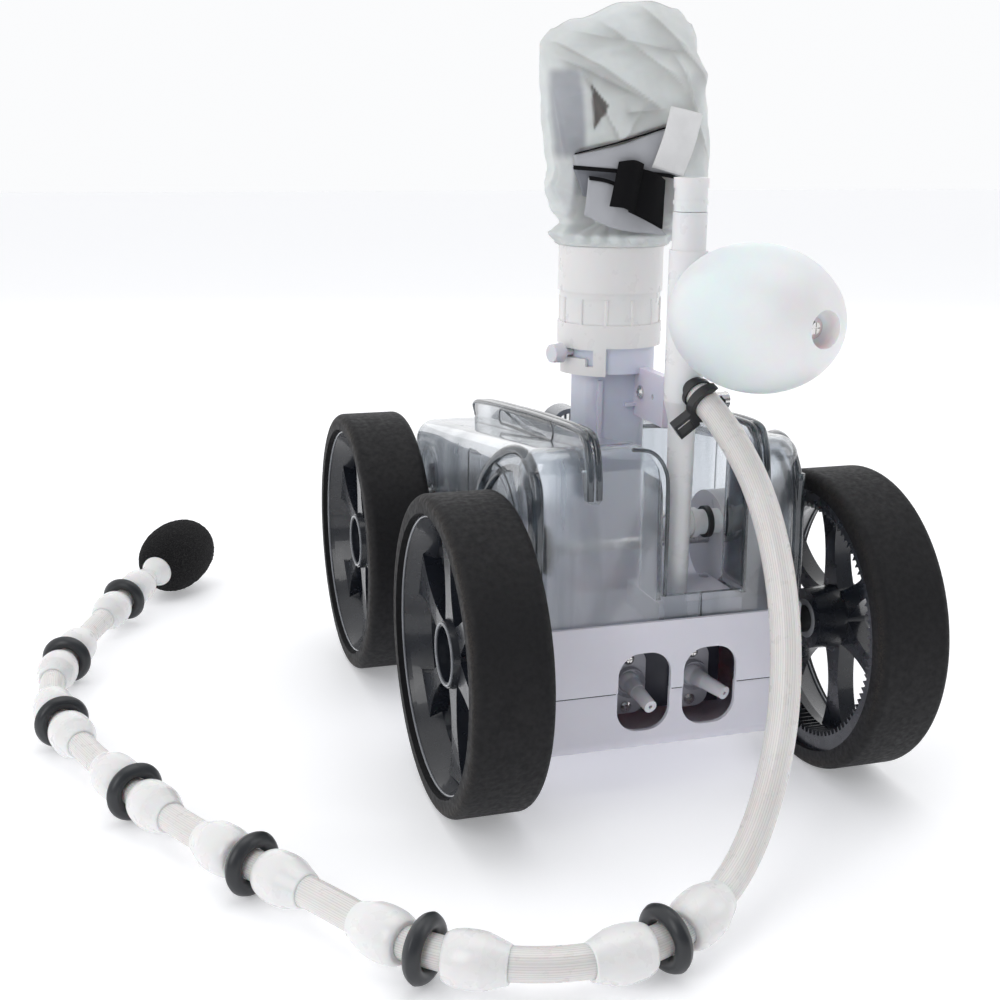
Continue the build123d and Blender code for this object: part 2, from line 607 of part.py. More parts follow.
save("float", make_float())
dish_floor = FLOAT_CENTRE + FLOAT_WAY * (FLOAT_HALF_LENGTH - 12)
save("float_screw", pan_head_screw(dish_floor, FLOAT_WAY, 6, 2.4, 20))

# ---- water manifold, jets and elbow -------------------------------------------------
manifold = (slab((-36, 50), (-121, -104), (44, 88)) + post(MAST_X, MANIFOLD_Y, (87, PEDESTAL_TOP - 0.2), 4.3)
     - slab((-33, 47), (-118, -107), (47, 85)) - post(MAST_X, MANIFOLD_Y, (80, PEDESTAL_TOP), 2.6))
JETS = [
    ("left", (-15.6, -124.0, 65.0), (0.127, -0.962, -0.24)),
    ("right", (29.4, -124.0, 65.5), (0.385, -0.908, -0.156)),
]
BALL_RADIUS = 7.0
JET_SCREWS = [(-16.5, 81), (-17.6, 48), (28.8, 81.5), (27.8, 48.5)]     # x and z
for jet_name, ball, way in JETS:
    centre = Vector(*ball)
    outline = RectangleRounded(27, 44, 9)
    plate = Plane(origin=(ball[0] - 2, -121, 65), x_dir=(1, 0, 0), z_dir=(0, -1, 0)) * extrude(outline, 3)
    plate += rod((ball[0], -121, ball[2]), (0, -1, 0), 7, 11, 10)
    plate -= Pos(*ball) * Sphere(BALL_RADIUS + 0.25)
    plate -= rod((ball[0], -124, ball[2]), (0, -1, 0), 10, BALL_RADIUS + 1.2, 13)
    for x, z in JET_SCREWS:
        plate -= rod((x, -118, z), (0, -1, 0), 10, 1.6)
    save(f"jet_plate_{jet_name}", plate - rod((ball[0], -116, ball[2]), (0, -1, 0), 8, 4))
    manifold -= Pos(*ball) * Sphere(BALL_RADIUS + 0.25)
    way = Vector(*way).normalized()
    jet = Pos(*ball) * Sphere(BALL_RADIUS) + rod(centre, way, 29, 5.4, 4.3) + rod(centre, way, 12, 6.4, 5.2)
    save(f"thrust_jet_{jet_name}", jet - rod(centre - way * 10, way, 50, 1.3))
save("jet_screws", group([
    pan_head_screw((x, -124, z), (0, -1, 0), 3.7, 1.6, 3) for x, z in JET_SCREWS
]))
save("water_manifold", manifold)


def make_elbow():
    elbow = rod((MAST_X, -106.1, 163), (0, 1, 0), 6.1, 8.4) + Pos(MAST_X, -100, 163) * Sphere(8.4)
    elbow += cross_rod((MAST_X, TURBINE_X[0]), -100, 163, 8.4) + cross_rod((34, 38), -100, 163, 10)
    elbow -= slab((MAST_X - 12, MAST_X + 12), (-115, -106), (150, 175))
    elbow -= rod((MAST_X, -107, 163), (0, 1, 0), 7, 5.6) + cross_rod((MAST_X, 58), -100, 163, 5.6)
    return elbow - Pos(MAST_X, -100, 163) * Sphere(5.6)


save("feed_elbow", make_elbow())
save("elbow_o_ring", cross_tube((44, 47.5), -100, 163, 10.6, 8.4))

# ---- turbine and drive --------------------------------------------------------------

def make_turbine_housing():
    drum = cross_rod(TURBINE_X, -SHAFT_Y, SHAFT_Z, 32)
    drum -= cross_rod((TURBINE_X[0] + 2.5, TURBINE_X[1] + 1), -SHAFT_Y, SHAFT_Z, 29.5)
    drum -= cross_rod((TURBINE_X[0] - 1, TURBINE_X[0] + 4), -SHAFT_Y, SHAFT_Z, SHAFT_RADIUS + 0.4)
    drum -= cross_rod((TURBINE_X[0] - 1, TURBINE_X[0] + 4), -100, 163, 5.6)
    foot_x = (TURBINE_X[0] + 4, TURBINE_X[0] + 18)
    return drum + slab(foot_x, (-SHAFT_Y - 12, -SHAFT_Y + 12), (DECK_Z, SHAFT_Z - 30.5))


def make_turbine_wheel():
    wheel = cross_tube((58, 74.5), -SHAFT_Y, SHAFT_Z, 9, SHAFT_RADIUS)
    for blade in range(12):
        wheel += facing_x(58, -SHAFT_Y, SHAFT_Z) * Rot(0, 0, 30 * blade) * Pos(18, 0, 8) * Box(20.5, 1.8, 16)
    return wheel


save("turbine_housing", make_turbine_housing())
cover_disc = cross_tube((TURBINE_X[1], TURBINE_X[1] + 2.8), -SHAFT_Y, SHAFT_Z, 32, SHAFT_RADIUS + 0.4)
cover_boss = cross_tube((TURBINE_X[1] + 2.7, TURBINE_X[1] + 5), -SHAFT_Y, SHAFT_Z, 14, SHAFT_RADIUS + 0.4)
save("turbine_cover", cover_disc + cover_boss)
save("turbine_wheel", make_turbine_wheel())
SHAFT_END = 119.0
save("drive_shaft", cross_rod((-SHAFT_END, SHAFT_END), -SHAFT_Y, SHAFT_Z, SHAFT_RADIUS))
save("front_shaft", cross_rod((-SHAFT_END, -44), SHAFT_Y, SHAFT_Z, SHAFT_RADIUS))


def make_pinion(side, y):
    half_tooth = math.pi * MODULE / 4 - HALF_BACKLASH
    outline = toothed_outline(PINION_TEETH, 7.9, 10.8, half_tooth + 0.6, half_tooth - 0.45)
    low = min(side * 107.5, side * 118)
    towards_rim = 45 if y < 0 else 135
    gear = facing_x(low, y, SHAFT_Z) * Rot(0, 0, towards_rim) * extrude(outline, 10.5)
    return gear - cross_rod((-130, 130), y, SHAFT_Z, SHAFT_RADIUS)


save("rear_left_pinion", make_pinion(-1, -SHAFT_Y))
save("right_pinion", make_pinion(1, -SHAFT_Y))
save("front_pinion", make_pinion(-1, SHAFT_Y))


def make_sprocket(y):
    outline = toothed_outline(18, 12.4, SPROCKET_RADIUS, 1.5, 0.9)
    wheel = facing_x(BELT_X - 4, y, SHAFT_Z) * extrude(outline, 8)
    wheel += cross_rod((BELT_X - 6, BELT_X - 4), y, SHAFT_Z, 16.5)
    wheel += cross_rod((BELT_X + 4, BELT_X + 6), y, SHAFT_Z, 16.5)
    return wheel - cross_rod((-130, 130), y, SHAFT_Z, SHAFT_RADIUS)


save("rear_sprocket", make_sprocket(-SHAFT_Y))
save("front_sprocket", make_sprocket(SHAFT_Y))
belt_outside = SlotCenterToCenter(2 * SHAFT_Y, 2 * (SPROCKET_RADIUS + 2))
belt_outline = belt_outside - SlotCenterToCenter(2 * SHAFT_Y, 2 * (SPROCKET_RADIUS + CLEAR))
save("drive_belt", facing_x(BELT_X - 3.6, 0, SHAFT_Z) * extrude(belt_outline, 7.2))
save("shaft_bearings", group([
    cross_tube(x, y, SHAFT_Z, 8, SHAFT_RADIUS + RUNNING_GAP)
    for x, y in TOWERS
]))

# ---- tail hose ----------------------------------------------------------------------
def bend_radii(points):
    """Each corner's radius: 0.45 of its shorter run over the tangent of half its turn."""
    radii = []
    for before, corner, after in zip(points, points[1:], points[2:]):
        run_in = Vector(*corner) - Vector(*before)
        run_out = Vector(*after) - Vector(*corner)
        half_turn = math.radians(run_in.get_angle(run_out)) / 2
        radii.append(0.45 * min(run_in.length, run_out.length) / math.tan(half_turn))
    return radii


HOSE_RADII = bend_radii(HOSE_ROUTE)
print("hose radii", [round(radius) for radius in HOSE_RADII])
hose_path = FilletPolyline(HOSE_ROUTE, radius=HOSE_RADII)
hose_start = Plane(origin=hose_path @ 0, z_dir=hose_path % 0)
hose = sweep(hose_start * Circle(HOSE_RADIUS), path=hose_path)
print("hose length", round(hose_path.length), "volume over section times length",
      round(hose.volume / (math.pi * HOSE_RADIUS ** 2 * hose_path.length), 4))
save("tail_hose", hose)


def on_hose(distance):
    """A plane across the hose at a distance from its exit."""
    share = distance / hose_path.length
    return Plane(origin=hose_path @ share, z_dir=hose_path % share)


def make_connector():
    """Barrel fitting with a flat end by the wear ring and a tapered end by the hose, local z along it."""
    half = CONNECTOR_LENGTH / 2
    outline = Polyline([(HOSE_RADIUS, 0, -half), (12.2, 0, -half), (CONNECTOR_RADIUS, 0, -half + 3.5),
                        (CONNECTOR_RADIUS, 0, 5), (10.8, 0, half), (HOSE_RADIUS, 0, half)], close=True)
    return revolve(make_face(outline), Axis.Z, 360)


connectors = []
wear_rings = []
for station in RING_STATIONS:
    wear_rings.append(on_hose(station) * Torus(WEAR_RING_RADIUS - WEAR_RING_SECTION, WEAR_RING_SECTION))
    connectors.append(on_hose(station + CONNECTOR_OFFSET) * make_connector())
    connectors.append(on_hose(station - CONNECTOR_OFFSET) * Rot(180, 0, 0) * make_connector())
save("hose_connectors", group(connectors))
save("wear_rings", group(wear_rings))

hose_end = Plane(origin=hose_path @ 1, z_dir=hose_path % 1)
neck = Cone(9.2, 13.5, 8, align=UPWARDS) + Pos(0, 0, 7.9) * Cylinder(5, 52, align=UPWARDS)
save("scrubber_cone", hose_end * neck)
scrubber_outline = make_face(Wire([
    Line((5, 0, 8), (22, 0, 8)),
    Spline((22, 0, 8), (29, 0, 24), (30.5, 0, 44), (26, 0, 70), (8, 0, 87)),
    Line((8, 0, 87), (5, 0, 87)),
    Line((5, 0, 87), (5, 0, 8)),
]))
save("hose_scrubber", hose_end * revolve(scrubber_outline, Axis.Z, 360))

# ---- hose fitting and clip ----------------------------------------------------------
hose_way = hose_path % 0
exit_point = Vector(*HOSE_EXIT)
spigot = rod(exit_point - hose_way * 12.9, hose_way, 12.9, 8.2)
save("hose_fitting", spigot + rod(exit_point - hose_way * 3, hose_way, 3, 10))


CLIP_LENGTH = 5.6


def make_hose_clip():
    """Open spring clip round the hose's end, with a slotted release tab."""
    middle = exit_point + hose_way * 9
    across = Plane(origin=middle, x_dir=(-0.72, 0, -0.69), z_dir=hose_way)
    ring = across * extrude(Circle(13) - Circle(HOSE_RADIUS + 0.5), CLIP_LENGTH / 2, both=True)
    ring -= across * Rot(0, 0, 180) * Pos(12, 0, 0) * Box(14, 15, 12)
    tab = across * (Pos(18, 3, 0) * Box(15, 14, CLIP_LENGTH))
    tab -= across * (Pos(19, 3, 0) * Box(9.5, 8.5, 12))
    return (ring + tab) - rod(middle - hose_way * 10, hose_way, 20, HOSE_RADIUS + 0.5)


save("hose_clip", make_hose_clip())
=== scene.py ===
import math

import bpy
from mathutils import Matrix, Vector, noise


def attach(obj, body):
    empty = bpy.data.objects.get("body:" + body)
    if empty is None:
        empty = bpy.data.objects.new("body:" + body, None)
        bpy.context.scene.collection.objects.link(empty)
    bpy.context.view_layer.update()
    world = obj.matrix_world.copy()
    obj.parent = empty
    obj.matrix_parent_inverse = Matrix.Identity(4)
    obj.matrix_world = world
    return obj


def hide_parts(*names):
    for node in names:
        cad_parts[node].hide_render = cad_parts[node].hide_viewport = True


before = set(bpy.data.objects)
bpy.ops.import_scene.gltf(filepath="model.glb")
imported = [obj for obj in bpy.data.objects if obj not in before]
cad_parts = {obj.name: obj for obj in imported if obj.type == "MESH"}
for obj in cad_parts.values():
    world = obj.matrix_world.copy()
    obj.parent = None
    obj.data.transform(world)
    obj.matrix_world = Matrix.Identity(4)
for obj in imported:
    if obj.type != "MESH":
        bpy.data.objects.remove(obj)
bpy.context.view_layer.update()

MM = 0.001
WHEEL_CENTRES = {"rear_left": (-128, -132), "front_left": (-128, 132), "right": (128, -132)}
WHEEL_HEIGHT = 100 * MM
HALF_TRACK = 152.5 * MM
CAMERA_AT = (-0.3622, -0.9397, 0.4134)
CAMERA_TURN = (0.3053, 0.2513, 0.0092)      # yaw, pitch and roll in radians
CAMERA_LENS = 51.79
LIGHTS = [
    # name, place, width and height, watts
    ("key_left", (-1.9, -1.5, 1.5), (1.0, 1.8), 17),
    ("fill_right", (2.1, -1.1, 1.3), (0.8, 1.6), 9),
    ("top", (0.1, -0.1, 2.3), (1.6, 1.6), 9),
    ("behind", (0.6, 2.2, 1.1), (2.2, 1.2), 4),
]


# ---- camera, floor and lights ----------------------------------------------------------
def make_camera():
    yaw, pitch, roll = CAMERA_TURN
    ahead = Vector((math.sin(yaw) * math.cos(pitch), math.cos(yaw) * math.cos(pitch), -math.sin(pitch)))
    level = Vector((math.cos(yaw), -math.sin(yaw), 0))
    upright = level.cross(ahead)
    right = level * math.cos(roll) + upright * math.sin(roll)
    up = upright * math.cos(roll) - level * math.sin(roll)
    camera = bpy.data.objects.new("camera", bpy.data.cameras.new("camera"))
    bpy.context.collection.objects.link(camera)
    camera.data.lens = CAMERA_LENS
    camera.data.sensor_width = 36
    camera.data.clip_start = 0.05
    axes = Matrix((right, up, -ahead)).transposed().to_4x4()
    camera.matrix_world = Matrix.Translation(CAMERA_AT) @ axes
    bpy.context.scene.camera = camera


def make_light(name, at, size, power):
    lamp = bpy.data.lights.new(name, "AREA")
    lamp.shape = "RECTANGLE"
    lamp.size, lamp.size_y = size
    lamp.energy = power
    holder = bpy.data.objects.new(name, lamp)
    bpy.context.collection.objects.link(holder)
    holder.location = at
    holder.rotation_mode = "QUATERNION"
    holder.rotation_quaternion = (Vector((0, 0, 0.2)) - Vector(at)).to_track_quat("-Z", "Y")


def make_stage():
    """A white room that is dimmer behind the camera, four soft panels and a pale floor."""
    world = bpy.data.worlds.new("studio")
    bpy.context.scene.world = world
    world.use_nodes = True
    tree = world.node_tree
    sky = tree.nodes["Background"]
    sky.inputs["Strength"].default_value = 0.98
    split = tree.nodes.new("ShaderNodeSeparateXYZ")
    fade = tree.nodes.new("ShaderNodeMapRange")
    room = tree.nodes.new("ShaderNodeMix")
    room.data_type = "RGBA"
    room.inputs[6].default_value = (0.20, 0.205, 0.22, 1)
    room.inputs[7].default_value = (0.985, 0.99, 1.0, 1)
    fade.inputs["From Min"].default_value = -0.45
    fade.inputs["From Max"].default_value = 0.05
    tree.links.new(tree.nodes.new("ShaderNodeTexCoord").outputs["Generated"], split.inputs[0])
    tree.links.new(split.outputs["Y"], fade.inputs["Value"])
    tree.links.new(fade.outputs["Result"], room.inputs[0])
    tree.links.new(room.outputs[2], sky.inputs["Color"])
    for light in LIGHTS:
        make_light(*light)
    floor = mesh_piece("floor", [(-9, -9, 0), (9, -9, 0), (9, 9, 0), (-9, 9, 0)], [(0, 1, 2, 3)])
    floor.location.z = -0.2 * MM
    pale = Surface("pale_floor", (0.93, 0.93, 0.94), 0.55,
                   Emission_Color=(0.97, 0.98, 1, 1), Emission_Strength=0.27)
    pale.bump(pale.noise(60, detail=4), 0.02, 0.2)
    floor.data.materials.append(pale.material)


# ---- materials -------------------------------------------------------------------------
class Surface:
    """One Principled material whose colour, roughness and bump come from procedural nodes."""

    def __init__(self, name, colour, roughness, **sockets):
        self.material = bpy.data.materials.new(name)
        self.material.use_nodes = True
        self.tree = self.material.node_tree
        self.shader = self.tree.nodes["Principled BSDF"]
        self.shader.inputs["Base Color"].default_value = (*colour, 1)
        self.shader.inputs["Roughness"].default_value = roughness
        for socket, value in sockets.items():
            self.shader.inputs[socket.replace("_", " ")].default_value = value
        self.object_space = self.node("ShaderNodeTexCoord").outputs["Object"]
        self.colour = colour
        self.last_bump = None

    def node(self, kind, **settings):
        made = self.tree.nodes.new(kind)
        for key, value in settings.items():
            setattr(made, key, value)
        return made

    def link(self, source, target):
        self.tree.links.new(source, target)

    def mapped(self, scale=(1, 1, 1), shift=(0, 0, 0), source=None):
        mapping = self.node("ShaderNodeMapping")
        mapping.inputs["Scale"].default_value = scale
        mapping.inputs["Location"].default_value = shift
        self.link(source or self.object_space, mapping.inputs["Vector"])
        return mapping.outputs["Vector"]

    def noise(self, scale, detail=3.0, stretch=None, distortion=0.0):
        """Noise of so many features per metre."""
        texture = self.node("ShaderNodeTexNoise")
        texture.inputs["Scale"].default_value = scale
        texture.inputs["Detail"].default_value = detail
        texture.inputs["Distortion"].default_value = distortion
        self.link(self.mapped(stretch) if stretch else self.object_space, texture.inputs["Vector"])
        return texture.outputs["Fac"]

    def uv_wave(self, scale, axis="X"):
        """Even bands along one UV axis, so many per unit."""
        texture = self.node("ShaderNodeTexWave", bands_direction=axis)
        texture.inputs["Scale"].default_value = scale / 2
        uv = self.node("ShaderNodeUVMap").outputs["UV"]
        self.link(uv, texture.inputs["Vector"])
        return texture.outputs["Fac"]

    def span(self, source, low, high, out_low=0.0, out_high=1.0):
        """Rescale and clamp one value."""
        made = self.node("ShaderNodeMapRange")
        limits = {"From Min": low, "From Max": high, "To Min": out_low, "To Max": out_high}
        for socket, value in limits.items():
            made.inputs[socket].default_value = value
        self.link(source, made.inputs["Value"])
        return made.outputs["Result"]

    def maths(self, operation, first, second):
        made = self.node("ShaderNodeMath", operation=operation)
        for socket, value in zip(made.inputs, (first, second)):
            if isinstance(value, (int, float)):
                socket.default_value = value
            else:
                self.link(value, socket)
        return made.outputs[0]

    def tint(self, factor, colour):
        """Blend another colour into the base colour by a 0 to 1 factor."""
        mix = self.node("ShaderNodeMix", data_type="RGBA")
        base = self.shader.inputs["Base Color"]
        if base.is_linked:
            self.link(base.links[0].from_socket, mix.inputs[6])
        else:
            mix.inputs[6].default_value = base.default_value
        mix.inputs[7].default_value = (*colour, 1)
        self.link(factor, mix.inputs[0])
        self.link(mix.outputs[2], base)

    def rough(self, factor, low, high):
        self.link(self.span(factor, 0.3, 0.7, low, high), self.shader.inputs["Roughness"])

    def bump(self, height, depth_mm, strength=1.0):
        made = self.node("ShaderNodeBump")
        made.inputs["Strength"].default_value = strength
        made.inputs["Distance"].default_value = depth_mm * MM
        self.link(height, made.inputs["Height"])
        if self.last_bump:
            self.link(self.last_bump, made.inputs["Normal"])
        self.last_bump = made.outputs["Normal"]
        self.link(self.last_bump, self.shader.inputs["Normal"])


def moulded(name, colour, roughness, mottle=0.06, grain=0.03, **sockets):
    """Injection-moulded plastic: faint cloudiness, fine grain and uneven gloss."""
    surface = Surface(name, colour, roughness, **sockets)
    cloud = surface.noise(35, detail=4)
    surface.tint(surface.span(cloud, 0.35, 0.75, 0, 1), tuple(c * (1 - mottle) for c in colour))
    surface.rough(surface.noise(90, detail=3), roughness * 0.85, min(1, roughness * 1.2))
    surface.bump(surface.noise(2600, detail=2), grain, 0.25)
    surface.bump(cloud, 0.25, 0.25)
    return surface


def tyre_rubber(name, centre):
    """Matt rubber, scuffed brown round the shoulders and dusty in the tread's grain."""
    surface = Surface(name, (0.0085, 0.0084, 0.0096), 0.60, Specular_IOR_Level=0.28)
    split = surface.node("ShaderNodeSeparateXYZ")
    shift = (0, -centre[1] * MM, -WHEEL_HEIGHT)
    surface.link(surface.mapped(shift=shift), split.inputs[0])
    y, z = split.outputs["Y"], split.outputs["Z"]
    square = surface.maths("ADD", surface.maths("MULTIPLY", y, y), surface.maths("MULTIPLY", z, z))
    radius = surface.maths("POWER", square, 0.5)
    inner_edge = surface.span(radius, 0.090, 0.0955)
    outer_edge = surface.span(radius, 0.0998, 0.0965)
    shoulder = surface.maths("MULTIPLY", inner_edge, outer_edge)
    specks = surface.span(surface.noise(1100, detail=4), 0.40, 0.66)
    patches = surface.span(surface.noise(16, detail=2), 0.35, 0.70)
    scuffs = surface.maths("MULTIPLY", shoulder, surface.maths("MULTIPLY", specks, patches))
    surface.tint(surface.span(surface.noise(55, detail=6), 0.45, 0.8, 0, 0.5), (0.0145, 0.0142, 0.0150))
    surface.tint(surface.maths("MULTIPLY", scuffs, 0.40), (0.09, 0.068, 0.048))
    surface.rough(surface.noise(300, detail=4), 0.55, 0.78)
    surface.bump(surface.noise(900, detail=5), 0.18, 0.5)
    surface.bump(surface.noise(70, detail=3, stretch=(6, 1, 1)), 0.15, 0.35)
    return surface


def clear_hood():
    """Smoky polycarbonate: glossy outside, hazed and streaked within."""
    surface = Surface("clear_hood", (0.84, 0.87, 0.90), 0.2, Transmission_Weight=0.93, IOR=1.46,
                      Coat_Weight=0.9, Coat_Roughness=0.03, Specular_IOR_Level=0.6)
    streaks = surface.noise(24, detail=4, stretch=(1.6, 1.0, 0.22), distortion=0.5)
    surface.tint(surface.span(streaks, 0.46, 0.68, 0, 0.9), (0.56, 0.61, 0.67))
    surface.rough(streaks, 0.08, 0.30)
    surface.bump(surface.noise(16, detail=2, stretch=(1.4, 1.2, 0.25)), 1.4, 0.5)
    return surface


def painted_dark_hood_edge():
    """The same plastic where it is thick and turned; its dark colour is painted shade, so it reads dark and
    glossy.
    """
    surface = Surface("painted_dark_hood_edge", (0.085, 0.098, 0.112), 0.06, Transmission_Weight=0.72, IOR=1.5,
                      Coat_Weight=0.6, Coat_Roughness=0.02)
    clouds = surface.noise(60, detail=3)
    surface.tint(surface.span(clouds, 0.42, 0.68, 0, 0.7), (0.30, 0.34, 0.38))
    surface.rough(clouds, 0.03, 0.14)
    surface.bump(surface.noise(70, detail=2), 0.4, 0.4)
    return surface


def hose_vinyl():
    """Milky vinyl with fine lengthwise lines and a faint blush along its length."""
    surface = Surface("hose_vinyl", (0.80, 0.785, 0.765), 0.30, Subsurface_Weight=0.35,
                      Subsurface_Scale=0.006, Coat_Weight=0.15)
    lines = surface.span(surface.uv_wave(HOSE_FLUTES), 0.0, 0.45, 1, 0)
    surface.tint(surface.maths("MULTIPLY", lines, 0.45), (0.47, 0.45, 0.44))
    surface.tint(surface.span(surface.noise(40, detail=3), 0.45, 0.75, 0, 0.35), (0.86, 0.85, 0.84))
    surface.rough(surface.noise(160, detail=3), 0.24, 0.42)
    surface.bump(surface.noise(1500, detail=2), 0.04, 0.3)
    return surface


def bag_fabric():
    """Sheer filter cloth: a fine woven grid over soft creases, thin enough to see dark things through, with
    painted shade below its folds and in one opening between them.
    """
    surface = Surface("bag_fabric", (0.875, 0.875, 0.865), 0.62, Sheen_Weight=0.25, Sheen_Roughness=0.5,
                      Subsurface_Weight=0.15, Subsurface_Scale=0.004)
    threads_a = surface.uv_wave(420, "X")
    threads_b = surface.uv_wave(260, "Y")
    weave = surface.maths("MULTIPLY", threads_a, threads_b)
    cloud = surface.noise(38, detail=4)
    surface.tint(surface.span(cloud, 0.40, 0.72, 0, 0.8), (0.78, 0.78, 0.775))
    # Grey where the lining shows through the cloth; painted shade, grey just below each fold and near black
    # in the opening between two folds.
    for layer, colour in (("painted_fold_shade", (0.56, 0.56, 0.55)), ("lining_behind", (0.36, 0.37, 0.41)),
                          ("painted_void_shade", (0.06, 0.06, 0.055))):
        seen = surface.node("ShaderNodeAttribute", attribute_name=layer)
        surface.tint(seen.outputs["Fac"], colour)
    opacity = surface.span(surface.noise(22, detail=3), 0.35, 0.70, 0.66, 0.86)
    threads = surface.maths("MULTIPLY", weave, 0.08)
    surface.link(surface.maths("ADD", opacity, threads), surface.shader.inputs["Alpha"])
    surface.bump(weave, 0.05, 0.35)
    surface.bump(surface.noise(120, detail=4), 0.5, 0.35)
    return surface


def woven(name, colour, threads, sheen=0.2):
    """Close woven tape or lining."""
    surface = Surface(name, colour, 0.82, Sheen_Weight=sheen, Sheen_Roughness=0.5, Specular_IOR_Level=0.12)
    weave = surface.maths("MULTIPLY", surface.uv_wave(threads, "X"), surface.uv_wave(threads, "Y"))
    surface.tint(surface.maths("MULTIPLY", weave, 0.35), tuple(c * 0.6 for c in colour))
    wear = surface.span(surface.noise(60, detail=4), 0.45, 0.75, 0, 0.5)
    surface.tint(wear, tuple(c * 0.8 for c in colour))
    surface.bump(weave, 0.12, 0.5)
    return surface


def foam():
    """Black open-cell foam with a pitted skin."""
    surface = Surface("foam", (0.010, 0.010, 0.011), 0.95, Specular_IOR_Level=0.15)
    cells = surface.node("ShaderNodeTexVoronoi")
    cells.inputs["Scale"].default_value = 900
    surface.link(surface.object_space, cells.inputs["Vector"])
    surface.tint(surface.span(cells.outputs["Distance"], 0.3, 0.9, 0, 0.6), (0.045, 0.044, 0.044))
    surface.bump(cells.outputs["Distance"], 0.9, 0.9)
    return surface


def metal(name, colour, roughness):
    """Ground metal with a fine grain along Z."""
    surface = Surface(name, colour, roughness, Metallic=1.0)
    surface.rough(surface.noise(500, detail=3, stretch=(1, 1, 6)), roughness * 0.7, roughness * 1.4)
    surface.bump(surface.noise(900, detail=2), 0.02, 0.2)
    return surface


# ---- mesh helpers ----------------------------------------------------------------------
def mesh_piece(name, points, faces, smooth=True):
    mesh = bpy.data.meshes.new(name)
    mesh.from_pydata([tuple(p) for p in points], [], faces)
    mesh.update()
    if smooth:
        mesh.shade_smooth()
    piece = bpy.data.objects.new(name, mesh)
    bpy.context.collection.objects.link(piece)
    return piece


def grid_piece(name, rows, closed_across=False, closed_along=False):
    """A mesh over rows of points, with a UV map that runs 0 to 1 across and along."""
    count, width = len(rows), len(rows[0])
    points = [p for row in rows for p in row]
    faces, corners = [], []
    for i in range(count if closed_along else count - 1):
        for j in range(width if closed_across else width - 1):
            here, there = i * width, ((i + 1) % count) * width
            after = (j + 1) % width
            faces.append((here + j, here + after, there + after, there + j))
            corners.extend([(j / width, i / count), ((j + 1) / width, i / count),
                            ((j + 1) / width, (i + 1) / count), (j / width, (i + 1) / count)])
    piece = mesh_piece(name, points, faces)
    uv = piece.data.uv_layers.new(name="UVMap")
    for loop, corner in zip(uv.data, corners):
        loop.uv = corner
    return piece


def finish_piece(piece, body, surface):
    piece.data.materials.append(surface.material)
    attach(piece, body)
    return piece


def along(middle, way, side, profile, segments=64):
    """Rows of points of an (offset along, radius) outline turned about an axis."""
    other = way.cross(side)
    rows = []
    for offset, radius in profile:
        centre = middle + way * offset
        rows.append([centre + (side * math.cos(a) + other * math.sin(a)) * radius
                     for a in (2 * math.pi * k / segments for k in range(segments))])
    return rows


def bezier_profile(points, steps=6):
    """Round a coarse (offset, radius) outline by averaging its corners."""
    for _ in range(steps // 2):
        rounded = [points[0]]
        for (x0, r0), (x1, r1) in zip(points, points[1:]):
            rounded.append((x0 * 0.75 + x1 * 0.25, r0 * 0.75 + r1 * 0.25))
            rounded.append((x0 * 0.25 + x1 * 0.75, r0 * 0.25 + r1 * 0.75))
        rounded.append(points[-1])
        points = rounded
    return points


def smooth_step(value, low, high):
    share = min(1, max(0, (value - low) / (high - low)))
    return share * share * (3 - 2 * share)


# ---- tail hose -------------------------------------------------------------------------
HOSE_RADIUS = 8.8 * MM
HOSE_FLUTES = 26
FLUTE_DEPTH = 0.16 * MM
HOSE_ROUTE = [
    (19.5, -136.0, 256.0), (25.5, -160.0, 243.5), (31.0, -207.0, 207.0), (27.0, -247.0, 155.0),
    (16.0, -274.0, 101.0), (-5.0, -296.0, 56.0), (-35.0, -321.0, 29.5), (-73.0, -344.0, 19.5),
    (-118.0, -356.5, 18.5), (-167.0, -348.5, 18.5), (-212.0, -317.0, 18.5), (-245.0, -256.0, 18.5),
    (-304.0, -164.0, 18.5), (-356.0, -40.0, 18.5), (-386.0, 82.0, 18.5), (-354.0, 188.0, 18.5),
    (-318.0, 276.0, 21.0), (-289.0, 320.0, 27.5),
]
RING_STATIONS = [372, 500, 631, 755, 886, 1011, 1147]     # millimetres along the hose
BARREL_OFFSET = 28 * MM
WEAR_RING_RADIUS = 18.4 * MM
WEAR_RING_SECTION = 4.75 * MM
SCRUBBER_MIDDLE = 47.5          # millimetres past the hose's end
SCRUBBER_HALF_LENGTH = 39
SCRUBBER_RADIUS = 30.0


class Route:
    """Points along the hose's smooth line, with a steady frame carried down it."""

    def __init__(self, control):
        curve = bpy.data.curves.new("hose_route", "CURVE")
        curve.dimensions = "3D"
        spline = curve.splines.new("NURBS")
        spline.points.add(len(control) - 1)
        for point, at in zip(spline.points, control):
            point.co = (*(Vector(at) * MM), 1)
        spline.order_u = 3
        spline.use_endpoint_u = True
        curve.resolution_u = 24
        holder = bpy.data.objects.new("hose_route", curve)
        bpy.context.collection.objects.link(holder)
        line = bpy.data.meshes.new_from_object(holder)
        self.points = [v.co.copy() for v in line.vertices]
        bpy.data.objects.remove(holder)
        bpy.data.curves.remove(curve)
        bpy.data.meshes.remove(line)
        self.lengths = [0.0]
        for a, b in zip(self.points, self.points[1:]):
            self.lengths.append(self.lengths[-1] + (b - a).length)
        self.frames = []
        side = Vector((0, 0, 1))
        for i in range(len(self.points)):
            way = (self.points[min(i + 1, len(self.points) - 1)] - self.points[max(i - 1, 0)]).normalized()
            side = (side - way * side.dot(way)).normalized()
            self.frames.append((way, side.copy()))

    @property
    def length(self):
        return self.lengths[-1]

    def at(self, distance):
        """Point, direction and side at a distance from the exit."""
        for i in range(len(self.points) - 1):
            if self.lengths[i + 1] >= distance:
                share = (distance - self.lengths[i]) / (self.lengths[i + 1] - self.lengths[i])
                return self.points[i].lerp(self.points[i + 1], share), *self.frames[i]
        return self.points[-1], *self.frames[-1]


